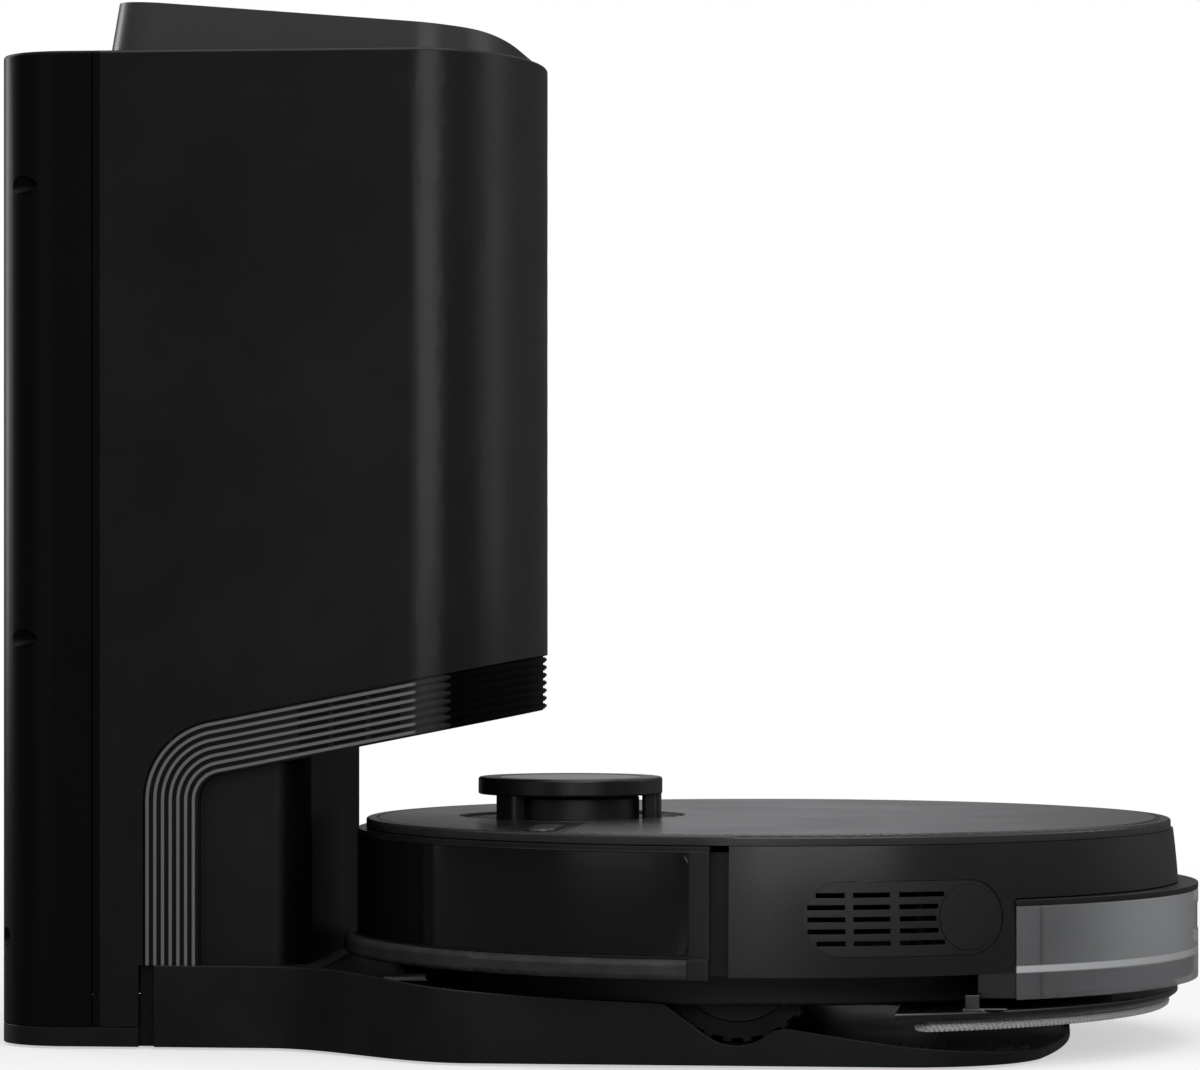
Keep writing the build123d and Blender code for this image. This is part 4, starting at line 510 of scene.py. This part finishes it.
def pad_mesh():
    """One closed cloth body with an uneven underside, then a two-strand cord; gives the first cord face."""
    arc_points, chord_points = 240, 160
    corner_turn, corner_y = 0.045, 0.0045   # how far the arc and the chord stop short of the corner
    rings, count = 22, 300                  # of each side of the cloth
    inset_low, inset_high = 0.0004, 0.0001  # of the cloth's two sides in the pad's thickness
    loft = 0.00035                          # unevenness of the cloth's underside
    twist, per_twist = 0.0045, 10           # length of cord for a full turn of the strands, and its steps
    strand_r, strand_set, strand_sides = 0.00092, 0.00098, 8
    low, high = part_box("mop_cloth")
    pad_r = high[0] - robot_x
    chord = low[0] - robot_x
    cord_r = (high[2] - low[2]) / 2 - 0.00005
    cord_z = (low[2] + high[2]) / 2
    half_turn = math.acos(chord / pad_r)
    hem = []
    for i in range(arc_points):
        a = -half_turn + corner_turn + (2 * half_turn - 2 * corner_turn) * i / (arc_points - 1)
        hem.append(Vector(((pad_r - cord_r) * math.cos(a), (pad_r - cord_r) * math.sin(a), 0)))
    end_y = hem[-1].y - corner_y
    for i in range(chord_points):
        hem.append(Vector((chord + cord_r, end_y - 2 * end_y * i / (chord_points - 1), 0)))
    hem = [Vector((robot_x, 0, cord_z)) + p for p in hem]
    spans = [(hem[(i + 1) % len(hem)] - hem[i]).length for i in range(len(hem))]
    hem_length = sum(spans)

    def along_hem(distance):
        distance %= hem_length
        for i, span in enumerate(spans):
            if distance <= span:
                return hem[i].lerp(hem[(i + 1) % len(hem)], distance / span)
            distance -= span
        return hem[0]

    dice = random.Random(11)
    points, faces = [], []
    heart = Vector((robot_x + (pad_r + chord) / 2, 0, cord_z))
    for level_z, below in ((low[2] + inset_low, True), (high[2] - inset_high, False)):
        base = len(points)
        for ring in range(rings):
            share = 1 - ring / rings
            for i in range(count):
                flat = heart.lerp(along_hem(hem_length * i / count), share)
                uneven = dice.uniform(-loft, loft) if below and ring else 0
                points.append(Vector((flat.x, flat.y, level_z + uneven)))
        points.append(Vector((heart.x, heart.y, level_z)))
        for ring in range(rings - 1):
            join_rings(faces, base + ring * count, base + (ring + 1) * count, count, below)
        last = base + (rings - 1) * count
        for i in range(count):
            faces.append(turned((last + i, last + (i + 1) % count, last + count), below))
    join_rings(faces, 0, rings * count + 1, count)
    cord_face = len(faces)

    turns = round(hem_length / twist)
    steps = turns * per_twist
    centre_line = [along_hem(hem_length * i / steps) for i in range(steps)]
    swing = cord_r - strand_set
    for strand in range(2):
        path = []
        for i, here in enumerate(centre_line):
            ahead = (centre_line[(i + 1) % steps] - centre_line[i - 1]).normalized()
            side = ahead.cross(Vector((0, 0, 1))).normalized()
            a = -math.tau * (turns * i / steps + strand / 2)
            path.append(here + side * swing * math.cos(a) + Vector((0, 0, swing * math.sin(a))))
        tube(points, faces, path, strand_r, strand_sides, closed=True)
    return points, faces, cord_face


points, faces, cord_face = pad_mesh()
pad = piece("mop_pad", points, faces, "mop_cloth", "mop", parts=[("hem_cord", cord_face)])
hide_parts("mop_cloth")


# ---------------------------------------------------------------- dust bag

def bag_mesh():
    """A gusseted paper-cloth bag, fuller in its lower part, creased and closed under its collar."""
    columns, rows, cap_rings = 160, 60, 12
    margin = 0.0004
    squareness = 0.45
    gusset_depth, gusset_half = 0.013, 0.021
    creasing, wrinkling, denting = 0.030, 0.008, 0.0009
    foot, foot_scale, shoulder_scale = 0.0015, 0.93, 0.86
    low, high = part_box("dust_bag")
    bag_x = (low[0] + high[0]) / 2
    half_x = (high[0] - low[0]) / 2 - margin
    half_y = (high[1] - low[1]) / 2 - margin
    tall = high[2] - low[2]
    points, faces = [], []

    def add_ring(height, scale, level_z):
        for i in range(columns):
            a = math.tau * i / columns
            c, d = math.cos(a), math.sin(a)
            x = half_x * math.copysign(abs(c) ** squareness, c)
            y = half_y * math.copysign(abs(d) ** squareness, d)
            fold = math.exp(-(y / gusset_half) ** 2) * min(1.0, abs(c) * 1.6)
            x -= math.copysign(gusset_depth * (0.25 + 0.75 * height) * fold, c)
            crease = noise.noise(Vector((x * 38, y * 38, height * 4.2)))
            wrinkle = noise.noise(Vector((x * 120 + 9, y * 120, height * 19)))
            pull = 1 - creasing * (0.5 + 0.5 * crease) - wrinkling * (0.5 + 0.5 * wrinkle)
            dent = denting * noise.noise(Vector((x * 70, y * 70, 3.3 + height * 9)))
            z = level_z + dent * (1 - abs(2 * height - 1))
            points.append(Vector((bag_x + x * scale * pull, y * scale * pull, z)))

    for row in range(rows + 1):
        v = row / rows
        swell = 0.07 * math.sin(math.pi * min(1.0, v * 1.35)) - 0.07 * v ** 3
        add_ring(v, foot_scale + swell, low[2] + foot + (tall - 0.006) * v)
    for ring in range(1, cap_rings):
        share = 1 - ring / cap_rings
        add_ring(1.0, shoulder_scale * share, high[2] - 0.0045 + 0.0035 * (1 - share ** 3))
    first_low = len(points) // columns
    for ring in range(1, cap_rings):
        share = 1 - ring / cap_rings
        add_ring(0.0, foot_scale * share, low[2] + foot - 0.0012 * (1 - share ** 4))
    upward = list(range(first_low))
    downward = [0, *range(first_low, len(points) // columns)]
    for chain, back in ((upward, False), (downward, True)):
        for first, second in zip(chain, chain[1:]):
            join_rings(faces, first * columns, second * columns, columns, back)
        last = chain[-1] * columns
        faces.append(turned(tuple(last + i for i in range(columns)), back))
    return points, faces


points, faces = bag_mesh()
bag = piece("dust_bag_paper", points, faces, "bag_paper", "dock")
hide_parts("dust_bag")


# ---------------------------------------------------------------- floor

floor_r, floor_sides, floor_drop = 1.6, 96, 0.0004
floor_turns = [i * math.tau / floor_sides for i in range(floor_sides)]
floor_rim = [(floor_r * math.cos(a), floor_r * math.sin(a), 0) for a in floor_turns]
floor_mesh = bpy.data.meshes.new("floor")
floor_mesh.from_pydata(floor_rim, [], [list(range(floor_sides))])
floor = bpy.data.objects.new("floor", floor_mesh)
bpy.context.scene.collection.objects.link(floor)
floor.location.z = -floor_drop

# The camera sees pale paper that fades to white away from the object. Glossy surfaces see the floor as a
# dim glow, with a painted pool of light in front of the robot.
paper = bpy.data.materials.new("floor_paper")
paper.use_nodes = True
ground = Graph(paper.node_tree, "Object")
diffuse = ground.nodes["Principled BSDF"]
diffuse.inputs["Base Color"].default_value = (0.86, 0.86, 0.86, 1)
diffuse.inputs["Roughness"].default_value = 0.9
diffuse.inputs["Specular IOR Level"].default_value = 0.1
rays = ground.nodes.new("ShaderNodeLightPath").outputs
away = ground.nodes.new("ShaderNodeVectorMath")
away.operation = "LENGTH"
ground.links.new(ground.position, away.inputs[0])
fade = ground.ease(away.outputs["Value"], 0.35, 1.5, 0.55, 1.0)
# Painted pool of light in front of the robot, seen only in reflections
off_front = ground.maths("ABSOLUTE", ground.maths("SUBTRACT", ground.axis("X"), 0.10))
painted_pool = ground.maths(
    "MULTIPLY",
    ground.ease(off_front, 0.10, 0.35, 1.0, 0.0),
    ground.ease(ground.axis("Y"), -0.8, -0.35, 1.0, 0.0),
)
mirror_level = ground.maths("ADD", ground.maths("MULTIPLY", painted_pool, 0.8), 0.09)
mirrored = ground.shine("ShaderNodeEmission", (1, 1, 1), mirror_level)
lit = ground.mix(rays["Is Glossy Ray"], diffuse.outputs["BSDF"], mirrored)
white = ground.shine("ShaderNodeEmission", (1, 1, 1), 1.0)
surface = ground.mix(ground.maths("MULTIPLY", rays["Is Camera Ray"], fade), lit, white)
ground.links.new(surface, ground.nodes["Material Output"].inputs["Surface"])
floor_mesh.materials.append(paper)


# ---------------------------------------------------------------- studio, light and camera

# White for the camera and through clear plastic. Glossy surfaces see a dim room with a soft overhead
# bank in front, a paler wall behind and weak panels at the sides.
world = bpy.data.worlds.new("studio")
world.use_nodes = True
bpy.context.scene.world = world
sky = Graph(world.node_tree, "Generated")
fill = sky.nodes["Background"]
fill.inputs["Color"].default_value = (0.94, 0.95, 0.97, 1)
fill.inputs["Strength"].default_value = 0.42
east, north, up = sky.axis("X"), sky.axis("Y"), sky.axis("Z")
compass = sky.maths("ARCTAN2", east, sky.maths("MULTIPLY", north, -1.0))


def panel(centre, flat, edge, level):
    """A soft-edged upright panel of the room, placed by its turn from the camera's side toward +X."""
    off = sky.maths("ABSOLUTE", sky.maths("SUBTRACT", compass, math.radians(centre)))
    return sky.ease(off, math.radians(flat), math.radians(edge), level, 0.0)


def both(first, second):
    return sky.maths("MULTIPLY", first, second)


off_strip = sky.maths("ABSOLUTE", sky.maths("ADD", east, 0.085))
room_parts = [
    panel(-38, 5, 21, 0.46),
    panel(-108, 3, 14, 0.25),
    panel(100, 20, 60, 0.16),
    sky.ease(north, 0.0, 0.6, 0.0, 0.05),  # the wall behind
    both(sky.ease(off_strip, 0.015, 0.13, 0.27, 0.0), sky.ease(north, 0.3, 0.8)),  # a strip on it
    both(sky.ease(up, 0.24, 0.40), sky.ease(north, -0.2, 0.4, 1.0, 0.25)),  # the overhead bank
]
room_level = 0.045
for part in room_parts:
    room_level = sky.maths("ADD", part, room_level)
room = sky.shine("ShaderNodeBackground", (0.97, 0.98, 1), sky.maths("MINIMUM", room_level, 1.0))
white = sky.shine("ShaderNodeBackground", (1, 1, 1), 1.0)
rays = sky.nodes.new("ShaderNodeLightPath").outputs
lit = sky.mix(rays["Is Glossy Ray"], fill.outputs["Background"], room)
seen = sky.maths("MAXIMUM", rays["Is Camera Ray"], rays["Is Transmission Ray"])
sky.links.new(sky.mix(seen, lit, white), sky.nodes["World Output"].inputs["Surface"])


def softbox(name, place, target, width, height, radiance):
    """Area light of the given brightness seen from the front; power follows from its area."""
    light = bpy.data.lights.new(name, "AREA")
    light.shape = "RECTANGLE"
    light.size = width
    light.size_y = height
    light.energy = radiance * math.pi * width * height
    obj = bpy.data.objects.new(name, light)
    bpy.context.scene.collection.objects.link(obj)
    obj.location = place
    obj.rotation_euler = (Vector(target) - Vector(place)).to_track_quat("-Z", "Y").to_euler()
    obj.visible_camera = False


softbox("top_box", (0.1, -0.3, 2.2), (0, 0, 0.1), 2.2, 2.2, 1.95)
softbox("front_panel", (0.06, -1.25, 0.14), (0.06, 0, 0.10), 0.36, 0.42, 0.9)
softbox("nose_strip", (0.25, -0.65, 0.42), (-0.05, -0.05, 0.32), 0.46, 0.52, 2.9)
softbox("side_strip", (0.52, 0.18, 0.45), (-0.05, -0.02, 0.30), 0.26, 0.58, 0.8)
softbox("rear_box", (-1.8, 1.2, 0.9), (-0.1, 0, 0.25), 0.6, 1.6, 3.3)

# The camera of the photo: level, turned 6 degrees, with the frame shifted instead of tilted
camera = bpy.data.cameras.new("camera")
camera.sensor_width = 36
camera.lens = 156.6
camera.shift_y = 40 / 1200
eye = bpy.data.objects.new("camera", camera)
bpy.context.scene.collection.objects.link(eye)
eye.location = (0.2297, -2.2223, 0.1965)
eye.rotation_euler = (math.radians(90), 0, math.radians(6))
bpy.context.scene.camera = eye
bpy.context.scene.view_settings.view_transform = "Standard"
